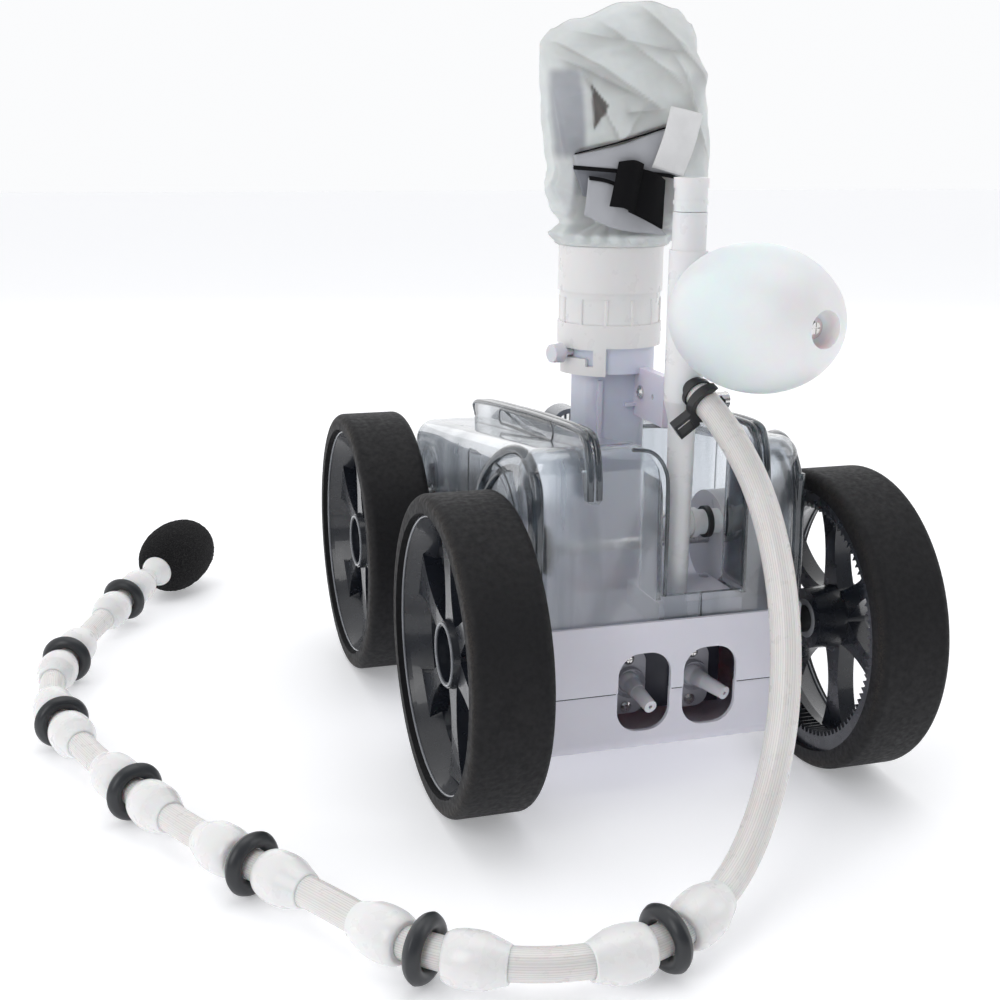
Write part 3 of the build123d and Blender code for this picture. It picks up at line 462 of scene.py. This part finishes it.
def make_hose(materials):
    route = Route(HOSE_ROUTE)
    per_flute = 4
    segments = HOSE_FLUTES * per_flute
    rows = []
    for centre, (way, side) in zip(route.points, route.frames):
        other = way.cross(side)
        row = []
        for k in range(segments):
            angle = 2 * math.pi * k / segments
            radius = HOSE_RADIUS - FLUTE_DEPTH * (1 - abs(math.sin(math.pi * k / per_flute)))
            row.append(centre + (side * math.cos(angle) + other * math.sin(angle)) * radius)
        rows.append(row)
    hose = grid_piece("tail_hose_skin", rows, closed_across=True)
    close_ends(hose, len(rows), segments)
    finish_piece(hose, "chassis", materials["hose"])
    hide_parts("tail_hose")

    barrels, rings = [], []
    for index, station in enumerate(RING_STATIONS):
        rings.append(make_wear_ring(route, station * MM, index, materials))
        for sign, name in ((1, "far"), (-1, "near")):
            barrels.append(make_barrel(route, station * MM, sign, f"hose_barrel_{index}_{name}", materials))
    for ring in rings:
        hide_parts("wear_rings")
    for barrel in barrels:
        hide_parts("hose_connectors")
    cone, scrubber = make_scrubber(route, materials)


def close_ends(piece, row_count, width):
    """Cap both ends of a tube grid."""
    mesh = piece.data
    ends = [list(range(width))[::-1], [(row_count - 1) * width + k for k in range(width)]]
    points = [v.co.copy() for v in mesh.vertices]
    faces = [tuple(p.vertices) for p in mesh.polygons] + [tuple(end) for end in ends]
    old_uv = [tuple(loop.uv) for loop in mesh.uv_layers[0].data]
    mesh.clear_geometry()
    mesh.from_pydata(points, [], faces)
    mesh.shade_smooth()
    uv = mesh.uv_layers.new(name="UVMap")
    for loop, corner in zip(uv.data, old_uv):
        loop.uv = corner


def make_wear_ring(route, station, index, materials):
    """Thick rubber ring with slightly flattened flanks and a fine moulding line."""
    centre, way, side = route.at(station)
    outer, section = WEAR_RING_RADIUS, WEAR_RING_SECTION
    rows = []
    for k in range(36):
        angle = 2 * math.pi * k / 36
        swell = 1 - 0.06 * abs(math.sin(2 * angle)) + (0.035 if k == 0 else 0)
        offset = section * 1.06 * math.sin(angle) * swell
        rows.append((offset, outer - section + section * math.cos(angle) * swell))
    ring = grid_piece(f"wear_ring_{index}", along(centre, way, side, rows, 72), closed_across=True,
                      closed_along=True)
    return finish_piece(ring, "chassis", materials["ring"])


def make_barrel(route, station, sign, name, materials):
    """Hose fitting: a lip by the wear ring, a bulging body and a tapered, stepped tail."""
    centre, way, side = route.at(station + sign * BARREL_OFFSET)
    way = way * sign
    outline = [(-16.5, 8.4), (-17.0, 10.4), (-16.2, 12.0), (-13.0, 13.6), (-8.0, 14.6), (-1.0, 14.8),
               (4.6, 14.2), (5.4, 13.9), (14.6, 10.7), (16.2, 10.2), (17.0, 9.6), (16.8, 8.4)]
    outline = bezier_profile(outline, 4) + [(16.6, 8.0), (-16.3, 8.0)]
    rows = [(x * MM, r * MM) for x, r in outline]
    barrel = grid_piece(name, along(centre, way, side, rows, 72), closed_across=True, closed_along=True)
    return finish_piece(barrel, "chassis", materials["barrel"])


def make_scrubber(route, materials):
    """The foam teardrop on the hose's end, and the pale neck it is pushed on."""
    end, way, side = route.at(route.length)
    neck = [(-9, 8.2), (-9.4, 9.8), (-6, 9.4), (0, 9.8), (5, 12.6), (8, 13.8), (10.5, 13.0), (11.2, 9.0),
            (11, 4.0), (52, 4.0), (52, 0.6)]
    rows = [(x * MM, r * MM) for x, r in bezier_profile(neck, 4)]
    cone = grid_piece("scrubber_neck", along(end, way, side, rows), closed_across=True)
    finish_piece(cone, "chassis", materials["barrel"])
    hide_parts("scrubber_cone")
    outline = []
    for k in range(49):
        angle = math.pi * k / 48
        bulge = SCRUBBER_RADIUS * math.sin(angle) ** 0.66 * (1 + 0.04 * math.cos(angle))
        offset = SCRUBBER_MIDDLE - SCRUBBER_HALF_LENGTH * math.cos(angle)
        outline.append((offset * MM, max(bulge, 0.4) * MM))
    rows = along(end, way, side, outline, 96)
    for row in rows:
        for point in row:
            outward = (point - end - way * SCRUBBER_MIDDLE * MM).normalized()
            grain = noise.fractal(point * 650, 0.6, 2.1, 4)
            point += outward * grain * 0.5 * MM
            point.z = max(point.z, 0.3 * MM)
    scrubber = grid_piece("scrubber_foam", rows, closed_across=True)
    finish_piece(scrubber, "chassis", materials["foam"])
    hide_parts("hose_scrubber")
    return cone, scrubber


# ---- filter bag ------------------------------------------------------------------------
BAG_LEVELS = [
    # height, left edge, right edge, half depth, squareness (millimetres)
    (341.5, -36.9, 35.2, 36.2, 1.00),
    (344.5, -40.0, 38.5, 38.0, 1.00),
    (348.5, -42.2, 41.0, 38.5, 1.00),
    (351.5, -38.5, 39.0, 35.0, 1.00),
    (355.0, -35.5, 44.0, 34.0, 0.98),
    (364.0, -41.0, 56.0, 37.0, 0.94),
    (376.0, -45.0, 63.0, 40.0, 0.88),
    (388.0, -44.5, 64.5, 40.0, 0.86),
    (402.0, -47.5, 65.0, 39.5, 0.84),
    (425.0, -50.0, 62.5, 39.0, 0.84),
    (448.0, -52.0, 58.5, 35.0, 0.86),
    (466.0, -53.0, 55.0, 27.0, 0.90),
]
BAG_SEAM = [(-49, 476), (-30, 483), (4, 494), (22, 495), (40, 491), (52, 482)]
RIDGES = [
    # start x, z, end x, z, height, width (millimetres) of folds on the front
    (-52, 470, 22, 424, 4.5, 5.0),
    (-18, 480, 38, 436, 4.0, 6.0),
    (10, 492, 58, 440, 4.0, 6.0),
    (-36, 452, -12, 404, 6.0, 5.0),
    (-50, 446, -41, 396, 4.0, 4.0),
    (24, 470, 50, 402, 3.5, 5.0),
    (-34, 474, 40, 462, -3.0, 7.0),
    (-30, 446, -22, 414, -4.0, 5.0),
    (-46, 458, 10, 431, -4.0, 4.0),
    (-8, 425, 20, 428, -4.0, 6.0),
    (-14, 405, 4, 428, 3.0, 4.0),
    (34, 450, 56, 398, -3.5, 5.0),
]


VOID = [(-31, 443), (-20.5, 429), (-27.5, 414)]


def between(table, value, column):
    """Smoothly read one column of a table keyed by its first column."""
    for low, high in zip(table, table[1:]):
        if value <= high[0]:
            share = smooth_step(value, low[0], high[0])
            return low[column] + (high[column] - low[column]) * share
    return table[-1][column]


def beside_fold(fold, x, z):
    """How far a point is from a fold's line, positive below it, and how much of the fold reaches there."""
    x0, z0, x1, z1 = fold[:4]
    run_x, run_z = x1 - x0, z1 - z0
    length = math.hypot(run_x, run_z)
    share = ((x - x0) * run_x + (z - z0) * run_z) / length ** 2
    gap = (run_z * (x - x0) - run_x * (z - z0)) / length
    return gap, smooth_step(share, -0.12, 0.18) * smooth_step(share, 1.12, 0.8)


def fold_depth(x, z):
    """How far the front of the bag stands out, in millimetres, from its folds."""
    depth = 0.0
    for fold in RIDGES:
        gap, window = beside_fold(fold, x, z)
        depth += 1.25 * fold[4] * window * math.exp(-(abs(gap) / fold[5]) ** 1.1)
    return depth


def fold_shade(x, z):
    """Painted shade just below each fold, where the cloth lies double, from 0 to 1."""
    shade = 0.0
    for fold in RIDGES:
        gap, window = beside_fold(fold, x, z)
        shade = max(shade, window * smooth_step(gap, -0.8, 0.8) * math.exp(-max(gap, 0) / 8))
    return shade


def in_void(x, z):
    """The opening between two folds, painted dark as shade: 1 inside a narrow triangle."""
    inside = 1.0
    for (x0, z0), (x1, z1) in zip(VOID, VOID[1:] + VOID[:1]):
        length = math.hypot(x1 - x0, z1 - z0)
        gap = ((x1 - x0) * (z - z0) - (z1 - z0) * (x - x0)) / length
        inside *= smooth_step(gap, 0.7, -0.7)
    return inside


def pocket_depth(x, z):
    """The mouth of the bag is folded in below its slanting front edge."""
    edge = 400 + (x + 41.7) * 0.28
    inside = smooth_step(z, edge + 1.5, edge - 3.0) * smooth_step(x, -38, -33) * smooth_step(x, 32, 25)
    return 17.0 * inside * smooth_step(z, 347, 356)


def bag_point(level, angle):
    """One point of the crumpled skin; level runs 0 at the hem to 1 at the top seam."""
    base_top = BAG_LEVELS[-1][0]
    if level < 0.8:
        z = 341.5 + (base_top - 341.5) * level / 0.8
        left, right, depth, square = (between(BAG_LEVELS, z, column) for column in (1, 2, 3, 4))
        closing = 0.0
    else:
        closing = (level - 0.8) / 0.2
        z = base_top
        left, right, depth, square = BAG_LEVELS[-1][1:]
        left += 5 * closing ** 2
        right -= 3 * closing ** 2
        depth *= max(0.02, math.sqrt(1 - closing ** 1.6))
    cosine, sine = math.cos(angle), math.sin(angle)
    across = math.copysign(abs(cosine) ** square, cosine)
    back = math.copysign(abs(sine) ** square, sine)
    x = (left + right) / 2 + (right - left) / 2 * across
    if closing:
        z += (between(BAG_SEAM, x, 1) - base_top) * closing ** 1.15
    y = -35 + depth * back
    outward = Vector((cosine * 0.8, sine, 0.0)).normalized()
    front = smooth_step(-sine, 0.15, 0.6)
    point = Vector((x, y, z))
    push = fold_depth(x, z) * front * (1 - 0.6 * closing) - pocket_depth(x, z) * front
    slanted = Vector((x * 0.022 + z * 0.020, y * 0.03, z * 0.045 - x * 0.012))
    crumple = 1 - 2 * abs(noise.noise(slanted + Vector((7.1, 0, 0))))
    fine = 1 - 2 * abs(noise.noise(slanted * 2.6 + Vector((0, 3.3, 0))))
    gather = smooth_step(z, 366, 350)
    calm = 1 - 0.65 * smooth_step(z, 378, 396) * smooth_step(abs(cosine), 0.75, 0.95)
    fade = (1 - 0.35 * gather) * smooth_step(z, 341, 352) * (1 - 0.5 * closing)
    amount = calm * (2.2 * crumple + 0.7 * fine) * fade
    pleats = 1.5 * math.sin(angle * 17 + 2 * math.sin(angle * 3)) * gather * smooth_step(z, 342, 346)
    if not front:
        wave = 1 - 2 * abs(noise.noise(Vector((x, y, z * 0.36)) * 0.05))
        push += (3.0 - 2.2 * smooth_step(z, 378, 396)) * wave * smooth_step(z, 350, 380)
    outset = push + amount - 2.0 * smooth_step(z, 350, 362) + pleats
    point += outward * outset
    return point


def make_bag(materials):
    across, up = 240, 170
    rows = []
    for i in range(up + 1):
        level = i / up
        rows.append([bag_point(level, 2 * math.pi * k / across) * MM for k in range(across)])
    bag = grid_piece("bag_cloth", rows, closed_across=True)
    paint_bag(bag)
    thickness = bag.modifiers.new("cloth_thickness", "SOLIDIFY")
    thickness.thickness = 0.35 * MM
    thickness.offset = 0
    finish_piece(bag, "bag", materials["bag"])
    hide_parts("filter_bag")
    hem = make_bag_hem(materials)
    trim = make_bag_trim(materials)


def paint_bag(bag):
    """Mark where the grey lining lies against the sheer skin, and paint shade where the skin is folded into
    shadow and just below each fold.
    """
    mesh = bag.data
    lining = mesh.attributes.new("lining_behind", "FLOAT", "POINT")
    painted_void_shade = mesh.attributes.new("painted_void_shade", "FLOAT", "POINT")
    painted_fold_shade = mesh.attributes.new("painted_fold_shade", "FLOAT", "POINT")
    for index, vertex in enumerate(mesh.vertices):
        x, y, z = vertex.co / MM
        front = smooth_step(y, -38, -50)
        slant = (z - 400) * 0.10
        panel = smooth_step(x, -58, -54) * smooth_step(x, -29 - slant, -33 - slant)
        panel *= smooth_step(z, 394, 401) * smooth_step(z, 454, 448)
        lower = smooth_step(x, -50, -46) * smooth_step(x, -30, -34)
        lower *= smooth_step(z, 352, 360) * smooth_step(z, 400, 392)
        lining.data[index].value = front * min(1, 0.85 * panel + 0.35 * lower)
        # Painted shade: near black in the opening between two folds, grey just below each fold.
        painted_void_shade.data[index].value = 0.92 * front * in_void(x, z)
        painted_fold_shade.data[index].value = front * fold_shade(x, z)


def make_bag_hem(materials):
    """Sewn elastic hem that grips the collar."""
    outline = [(341.0, 36.6), (342.0, 37.6), (344.0, 37.9), (346.5, 37.7), (347.6, 36.8), (346.5, 36.5),
               (343, 36.4)]
    rows = []
    for height, radius in outline:
        row = []
        for k in range(160):
            angle = 2 * math.pi * k / 160
            ruffle = 0.45 * math.sin(angle * 23 + math.sin(angle * 4)) + 0.3 * math.sin(angle * 41)
            centre = Vector((-1.0, -35.0, height))
            row.append((centre + Vector((math.cos(angle), math.sin(angle), 0)) * (radius + ruffle)) * MM)
        rows.append(row)
    hem = grid_piece("bag_hem", rows, closed_across=True, closed_along=True)
    return finish_piece(hem, "bag", materials["bag"])


def ribbon(name, edge_a, edge_b, thickness, surface, bow):
    """A bent strip of cloth between two given edges, with a little thickness and bow."""
    steps = 14
    rows = []
    dense_a, dense_b = spread(edge_a, 10), spread(edge_b, 10)
    for a, b in zip(dense_a, dense_b):
        row = []
        for k in range(steps + 1):
            share = k / steps
            point = a.lerp(b, share)
            point.y -= bow * math.sin(math.pi * share)
            point.y += 0.4 * noise.noise(point * 0.12)
            row.append(point * MM)
        rows.append(row)
    piece = grid_piece(name, rows)
    solid = piece.modifiers.new("cloth_thickness", "SOLIDIFY")
    solid.thickness = thickness * MM
    solid.offset = 0
    return finish_piece(piece, "bag", surface)


def spread(points, steps):
    """A smooth line of points through a few given ones."""
    points = [Vector(p) for p in points]
    padded = [points[0] * 2 - points[1], *points, points[-1] * 2 - points[-2]]
    line = []
    for before, start, end, after in zip(padded, padded[1:], padded[2:], padded[3:]):
        for k in range(steps):
            t = k / steps
            square = 2 * before - 5 * start + 4 * end - after
            cube = 3 * start - before - 3 * end + after
            line.append(0.5 * (2 * start + (end - before) * t + square * t ** 2 + cube * t ** 3))
    line.append(points[-1])
    return line


# name, first edge, second edge, thickness, slot, finish, bow (millimetres)
BAG_TRIM = [
    ("lining_upper",
     [(-41, -67, 398.5), (-14, -74.5, 405), (17, -75.5, 415), (30, -72, 414)],
     [(-41, -68, 391.5), (-14, -74.5, 390), (17, -76, 388), (30, -72, 385)],
     0.9, "bag_mesh", "lining", 1.5),
    ("lining_middle",
     [(-40.5, -65, 391.5), (-14, -70, 390.5), (17, -72, 387)],
     [(-33, -63, 374), (-12, -68, 366), (19, -71, 360)],
     0.9, "bag_mesh", "inner", 0.5),
    ("lining_lower",
     [(-31.5, -69, 385), (-22, -72.5, 383.5), (-12, -74.5, 381)],
     [(-33, -67, 362), (-12, -74, 353), (22, -73, 349)],
     0.9, "bag_mesh", "lining", 1.0),
    ("lining_edge",
     [(-41.5, -68.8, 392.8), (-14, -75.6, 390.6), (17, -77, 388.2), (28, -73.5, 386.0)],
     [(-41.2, -68.6, 390.2), (-14, -75.4, 388.2), (17, -77, 385.8), (28, -73.2, 384.2)],
     0.8, "belt_rubber", "piping_and_seam_shade", 0.0),
    ("lining_fold_edge",
     [(-31.8, -71, 386.4), (-22, -73.8, 384.8), (-12, -76, 381.5)],
     [(-31.4, -70.8, 383.8), (-22, -73.8, 382.4), (-12, -76, 379.0)],
     0.8, "belt_rubber", "piping_and_seam_shade", 0.0),
    ("flap_edge",
     [(-41, -69.5, 400.2), (-14, -76.5, 407.6), (17, -77.5, 416.6)],
     [(-41, -69.4, 399.3), (-14, -76.4, 406.5), (17, -77.4, 415.6)],
     0.7, "belt_rubber", "piping_and_seam_shade", 0.0),
    ("strap_fold",
     [(-14.7, -79, 395.2), (-7, -84.5, 396.4), (1.0, -80.5, 394.0)],
     [(-20.4, -79, 367.8), (-12, -84.5, 366.6), (-3.4, -80.5, 362.5)],
     1.6, "belt_rubber", "strap", 0.0),
    ("strap_face",
     [(0.6, -80.0, 391), (8, -83.5, 388.5), (16.2, -80, 384.0)],
     [(-8, -79.5, 364.4), (3, -83.5, 359), (15.3, -80, 353.4)],
     1.6, "belt_rubber", "strap", 0.0),
    ("pull_tab",
     [(19.2, -79.0, 429.2), (14, -81.5, 412), (7.2, -80.0, 391.8)],
     [(42.2, -76.0, 424.8), (37, -79, 408), (29.4, -78.0, 386.4)],
     1.0, "bag_mesh", "tab", 1.6),
    ("inner_flap",
     [(-49, -34, 443), (-45, -40, 450), (-37, -45, 451), (-31, -46, 447)],
     [(-45, -36, 402), (-41, -42, 400), (-36, -47, 400), (-30, -48, 408)],
     0.8, "bag_mesh", "inner", 0.0),
    ("inner_shadow",
     [(-33, -50, 446), (-27, -51, 444), (-22, -50, 430)],
     [(-31, -48, 404), (-25, -50, 408), (-16, -49, 414)],
     0.6, "belt_rubber", "inner_dark", 0.0),
]


def make_bag_trim(materials):
    """The rolled lining, its dark edges, the fastening strap and the pull tab at the bag's mouth."""
    return [ribbon(name, edge_a, edge_b, thickness, materials[finish], bow)
            for name, edge_a, edge_b, thickness, slot, finish, bow in BAG_TRIM]


# ---- wheels ----------------------------------------------------------------------------
def make_wheel_trim(name, centre, materials):
    """Bright rings where the rim meets the tyre and round the hub's mouth, coloured lighter than the rim as a
    painted highlight along those lips.
    """
    side = math.copysign(1, centre[0])
    way = Vector((side, 0, 0))
    middle = Vector((side * HALF_TRACK, centre[1] * MM, WHEEL_HEIGHT))
    made = []
    for part, inset, radius, section in (("lip", 4.3, 86.0, 0.9), ("hub_lip", 9.6, 19.3, 1.0)):
        rows = []
        for k in range(12):
            angle = 2 * math.pi * k / 12
            offset = section * math.cos(angle) - inset
            rows.append((offset * MM, (radius + section * math.sin(angle)) * MM))
        lip_highlight = grid_piece(f"{name}_{part}", along(middle, way, Vector((0, 0, 1)), rows, 128),
                          closed_across=True, closed_along=True)
        made.append(finish_piece(lip_highlight, f"{name}_wheel", materials["lip_highlight"]))
    return made


# ---- hood mouldings --------------------------------------------------------------------
def swept(name, line, section, ring_steps=20, closed=False, out=Vector((1, 0, 0))):
    """A rod carried along a line of millimetre points; section gives its half-widths along out and across."""
    rows = []
    count = len(line)
    for i, point in enumerate(line):
        ahead = line[(i + 1) % count] if closed else line[min(i + 1, count - 1)]
        behind = line[i - 1] if closed else line[max(i - 1, 0)]
        way = (ahead - behind).normalized()
        across = way.cross(out).normalized()
        rows.append([(point + out * section[0] * math.cos(a) + across * section[1] * math.sin(a)) * MM
                     for a in (2 * math.pi * k / ring_steps for k in range(ring_steps))])
    piece = grid_piece(name, rows, closed_across=True, closed_along=closed)
    if not closed:
        close_ends(piece, count, ring_steps)
    return piece


ARCH = [                        # from the front foot over to the rear foot, on the left
    (-97, -51, 128), (-97.5, -52, 162), (-97, -58, 186), (-95.5, -72, 203), (-92.5, -92, 216),
    (-89.5, -112, 221.5), (-88, -129, 218), (-87.5, -141, 206), (-88, -146, 188), (-88.5, -147.5, 160),
    (-88.5, -147.5, 119),
]
ARCH_MIDDLE = (-100, 160)       # y and z that the inner arch closes in on
ARCH_PARTS = [("outer", 1.0, (3.6, 3.4)), ("inner", 0.80, (2.6, 2.4))]
RAIL_X = 56
RAIL = [                        # y and z along a lifting rail's back
    (82, 206), (80, 216.5), (-15, 227.6), (-84, 233.6), (-138, 236.6), (-151.5, 229.5), (-157.0, 212),
    (-157.4, 198),
]
SLOT_REACH = 52                 # half the straight run of a rail's finger slot
SLOT_ROUND = 5.2
SLOT_SLOPE = 0.087
SLOT_EDGE = [
    (-30, -151.5, 227), (-17, -152.5, 224.5), (-8.5, -153, 214), (-6, -153, 196), (-5.4, -152.5, 132),
]
SEAM_HEIGHT = 69.2
SEAMS = [                       # x and y of each run's ends, clear of the jet windows
    ((-83, -151.3), (-36, -151.3)), ((2.6, -151.3), (9.4, -151.3)), ((48.4, -151.3), (83, -151.3)),
    ((-97.3, -137), (-97.3, 135)), ((97.3, -137), (97.3, 135)), ((-83, 149.3), (83, 149.3)),
]


def arch_line(side, share):
    """The arch on one side, or a smaller one inside it that keeps its feet."""
    middle_y, middle_z = ARCH_MIDDLE
    line = []
    for x, y, z in ARCH:
        rise = share if z > middle_z else 1
        line.append((-side * x, middle_y + (y - middle_y) * share, middle_z + (z - middle_z) * rise))
    return spread(line, 8)


def finger_slot_line(side):
    line = []
    for k in range(48):
        angle = 2 * math.pi * k / 48
        reach = SLOT_REACH if math.cos(angle) >= 0 else -SLOT_REACH
        y, z = reach + SLOT_ROUND * math.cos(angle), SLOT_ROUND * math.sin(angle)
        line.append(Vector((side * 60.2, -36 + y, 222.0 + z - SLOT_SLOPE * y)))
    return line


def make_hood_mouldings(materials):
    """Thick turned edges of the hood, dark with painted shade, and a dark strip of painted shade along the
    joint between the pan and the band.
    """
    edge = materials["edge"]
    made = []
    for side, label in ((-1, "left"), (1, "right")):
        for part, share, section in ARCH_PARTS:
            made.append(swept(f"hood_arch_{label}_{part}", arch_line(side, share), section))
        for face, place in ((-1, "in"), (1, "out")):
            rail = spread([(side * RAIL_X + face * 2.8, y, z) for y, z in RAIL], 8)
            made.append(swept(f"hood_rail_{label}_{place}", rail, (2.2, 1.9), 14))
        made.append(swept(f"hood_finger_slot_{label}", finger_slot_line(side), (0.9, 1.1), 12, closed=True))
    corner = [Vector((88, -147.5, 119 + 5 * k)) for k in range(18)]
    made.append(swept("hood_corner_right", corner, (2.6, 2.6), 16))
    wall = [Vector((50.8, -134, 132 + 4 * k)) for k in range(21)]
    made.append(swept("hood_slot_wall", wall, (1.5, 15)))
    made.append(swept("hood_slot_edge", spread(SLOT_EDGE, 8), (1.3, 1.2), 12, out=Vector((0, 1, 0))))
    # These mouldings carry painted shade in their dark colour.
    for piece in made:
        finish_piece(piece, "chassis", edge)
    # Thin dark strips along the joint between the pan and the band: painted shade, not a separate part.
    for index, (start, end) in enumerate(SEAMS):
        line = [Vector((*start, SEAM_HEIGHT)), Vector((*end, SEAM_HEIGHT))]
        outward = Vector((0, 1, 0)) if start[1] == end[1] else Vector((1, 0, 0))
        seam_shade_strip = swept(f"painted_seam_shade_{index}", line, (0.6, 0.5), 8, out=outward)
        finish_piece(seam_shade_strip, "chassis", materials["piping_and_seam_shade"])


# ---- carried-over CAD nodes ----------------------------------------------------------------------
def dress(surface, *nodes):
    """Give CAD nodes their finish."""
    for node in nodes:
        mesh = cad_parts[node].data
        mesh.materials.clear()
        mesh.materials.append(surface.material)


def make_materials():
    """Finishes of the pieces made here, by the name their makers ask for."""
    return {
        "hose": hose_vinyl(),
        "barrel": moulded("hose_barrel_white", (0.87, 0.865, 0.86), 0.28, mottle=0.03, grain=0.01,
                          Subsurface_Weight=0.25, Subsurface_Scale=0.005, Coat_Weight=0.25),
        "ring": moulded("ring_rubber", (0.022, 0.024, 0.027), 0.34, mottle=-0.8, grain=0.05),
        "foam": foam(),
        "bag": bag_fabric(),
        "lining": woven("grey_lining", (0.50, 0.51, 0.54), 90),
        "inner": woven("inner_lining", (0.26, 0.27, 0.30), 70),
        "inner_dark": woven("inner_shadow", (0.10, 0.10, 0.11), 70),
        # Dark edging on the bag's lining, also used for painted shade along the pan's joint.
        "piping_and_seam_shade": woven("dark_piping", (0.008, 0.008, 0.009), 50, 0.0),
        "strap": woven("hook_strap", (0.006, 0.006, 0.007), 120, 0.01),
        "tab": woven("white_tab", (0.88, 0.88, 0.88), 60),
        "edge": painted_dark_hood_edge(),
        # A lighter grey than the rim, as a painted highlight along the wheels' lips.
        "lip_highlight": moulded("rim_lip_highlight", (0.20, 0.21, 0.23), 0.20, mottle=0.1, grain=0.01, Coat_Weight=0.5),
    }


def dress_frame():
    shell = moulded("shell_white", (0.80, 0.79, 0.87), 0.42, mottle=0.03, Subsurface_Weight=0.10,
                    Subsurface_Scale=0.004)
    rim = moulded("rim_plastic", (0.010, 0.012, 0.017), 0.27, mottle=-0.4, grain=0.015, Coat_Weight=0.35)
    column = moulded("column_plastic", (0.74, 0.73, 0.84), 0.34, mottle=0.04, Subsurface_Weight=0.35,
                     Subsurface_Scale=0.012)
    collar = moulded("collar_plastic", (0.82, 0.81, 0.805), 0.30, mottle=0.02, Subsurface_Weight=0.15,
                     Subsurface_Scale=0.004, Coat_Weight=0.1)
    mast = moulded("mast_plastic", (0.84, 0.84, 0.85), 0.30, mottle=0.02, Subsurface_Weight=0.2,
                   Subsurface_Scale=0.006)
    float_skin = moulded("float_plastic", (0.86, 0.87, 0.885), 0.36, mottle=0.02, grain=0.05,
                         Subsurface_Weight=0.6, Subsurface_Scale=0.02)
    nozzle = moulded("clear_nozzle", (0.74, 0.75, 0.80), 0.22, mottle=0.05, Subsurface_Weight=0.4,
                     Subsurface_Scale=0.004)
    plate = moulded("jet_plate_plastic", (0.52, 0.52, 0.57), 0.30, mottle=0.08)
    manifold = moulded("manifold_plastic", (0.035, 0.036, 0.055), 0.42, mottle=-0.2)
    housing = moulded("housing_plastic", (0.66, 0.67, 0.70), 0.32, mottle=0.05, Subsurface_Weight=0.2,
                      Subsurface_Scale=0.004)
    gear = moulded("gear_plastic", (0.30, 0.31, 0.33), 0.40)
    black = moulded("black_plastic", (0.014, 0.0145, 0.016), 0.33, mottle=-0.5, Coat_Weight=0.15)
    rubber = moulded("soft_rubber", (0.016, 0.016, 0.017), 0.5, mottle=-0.6)
    vent = moulded("vent_plastic", (0.16, 0.17, 0.19), 0.25, mottle=-0.3, Coat_Weight=0.4)
    steel = metal("ground_steel", (0.62, 0.62, 0.63), 0.28)
    screw = metal("bright_screw", (0.72, 0.71, 0.70), 0.16)
    dress(shell, "base_pan", "chassis_band")
    dress(clear_hood(), "hood")
    for name, centre in WHEEL_CENTRES.items():
        dress(rim, f"{name}_rim")
        dress(tyre_rubber(f"{name}_rubber", centre), f"{name}_tyre")
        dress(gear, f"{name}_hub_bearings")
    dress(column, "vacuum_tube", "venturi_ring")
    dress(collar, "bag_collar", "bayonet_ring")
    dress(mast, "feed_mast", "mast_swivel", "feed_elbow")
    dress(float_skin, "float")
    dress(nozzle, "thrust_jet_left", "thrust_jet_right", "latch_knob")
    dress(plate, "jet_plate_left", "jet_plate_right")
    dress(manifold, "water_manifold")
    dress(housing, "turbine_housing", "turbine_cover")
    dress(gear, "turbine_wheel", "rear_left_pinion", "right_pinion", "front_pinion", "rear_sprocket")
    dress(gear, "front_sprocket", "shaft_bearings", "axle_caps")
    dress(black, "hose_clip", "hose_fitting", "axle_spacers")
    dress(rubber, "drive_belt", "elbow_o_ring")
    dress(vent, "hood_vent")
    dress(steel, "drive_shaft", "front_shaft", "front_axle", "rear_axle")
    dress(screw, "hood_screws", "mast_screws", "float_screw", "jet_screws", "adjust_screw")


make_camera()
make_stage()
MATERIALS = make_materials()
make_hose(MATERIALS)
make_bag(MATERIALS)
for wheel_name, wheel_centre in WHEEL_CENTRES.items():
    make_wheel_trim(wheel_name, wheel_centre, MATERIALS)
make_hood_mouldings(MATERIALS)
dress_frame()
bpy.context.scene.view_settings.view_transform = "Standard"
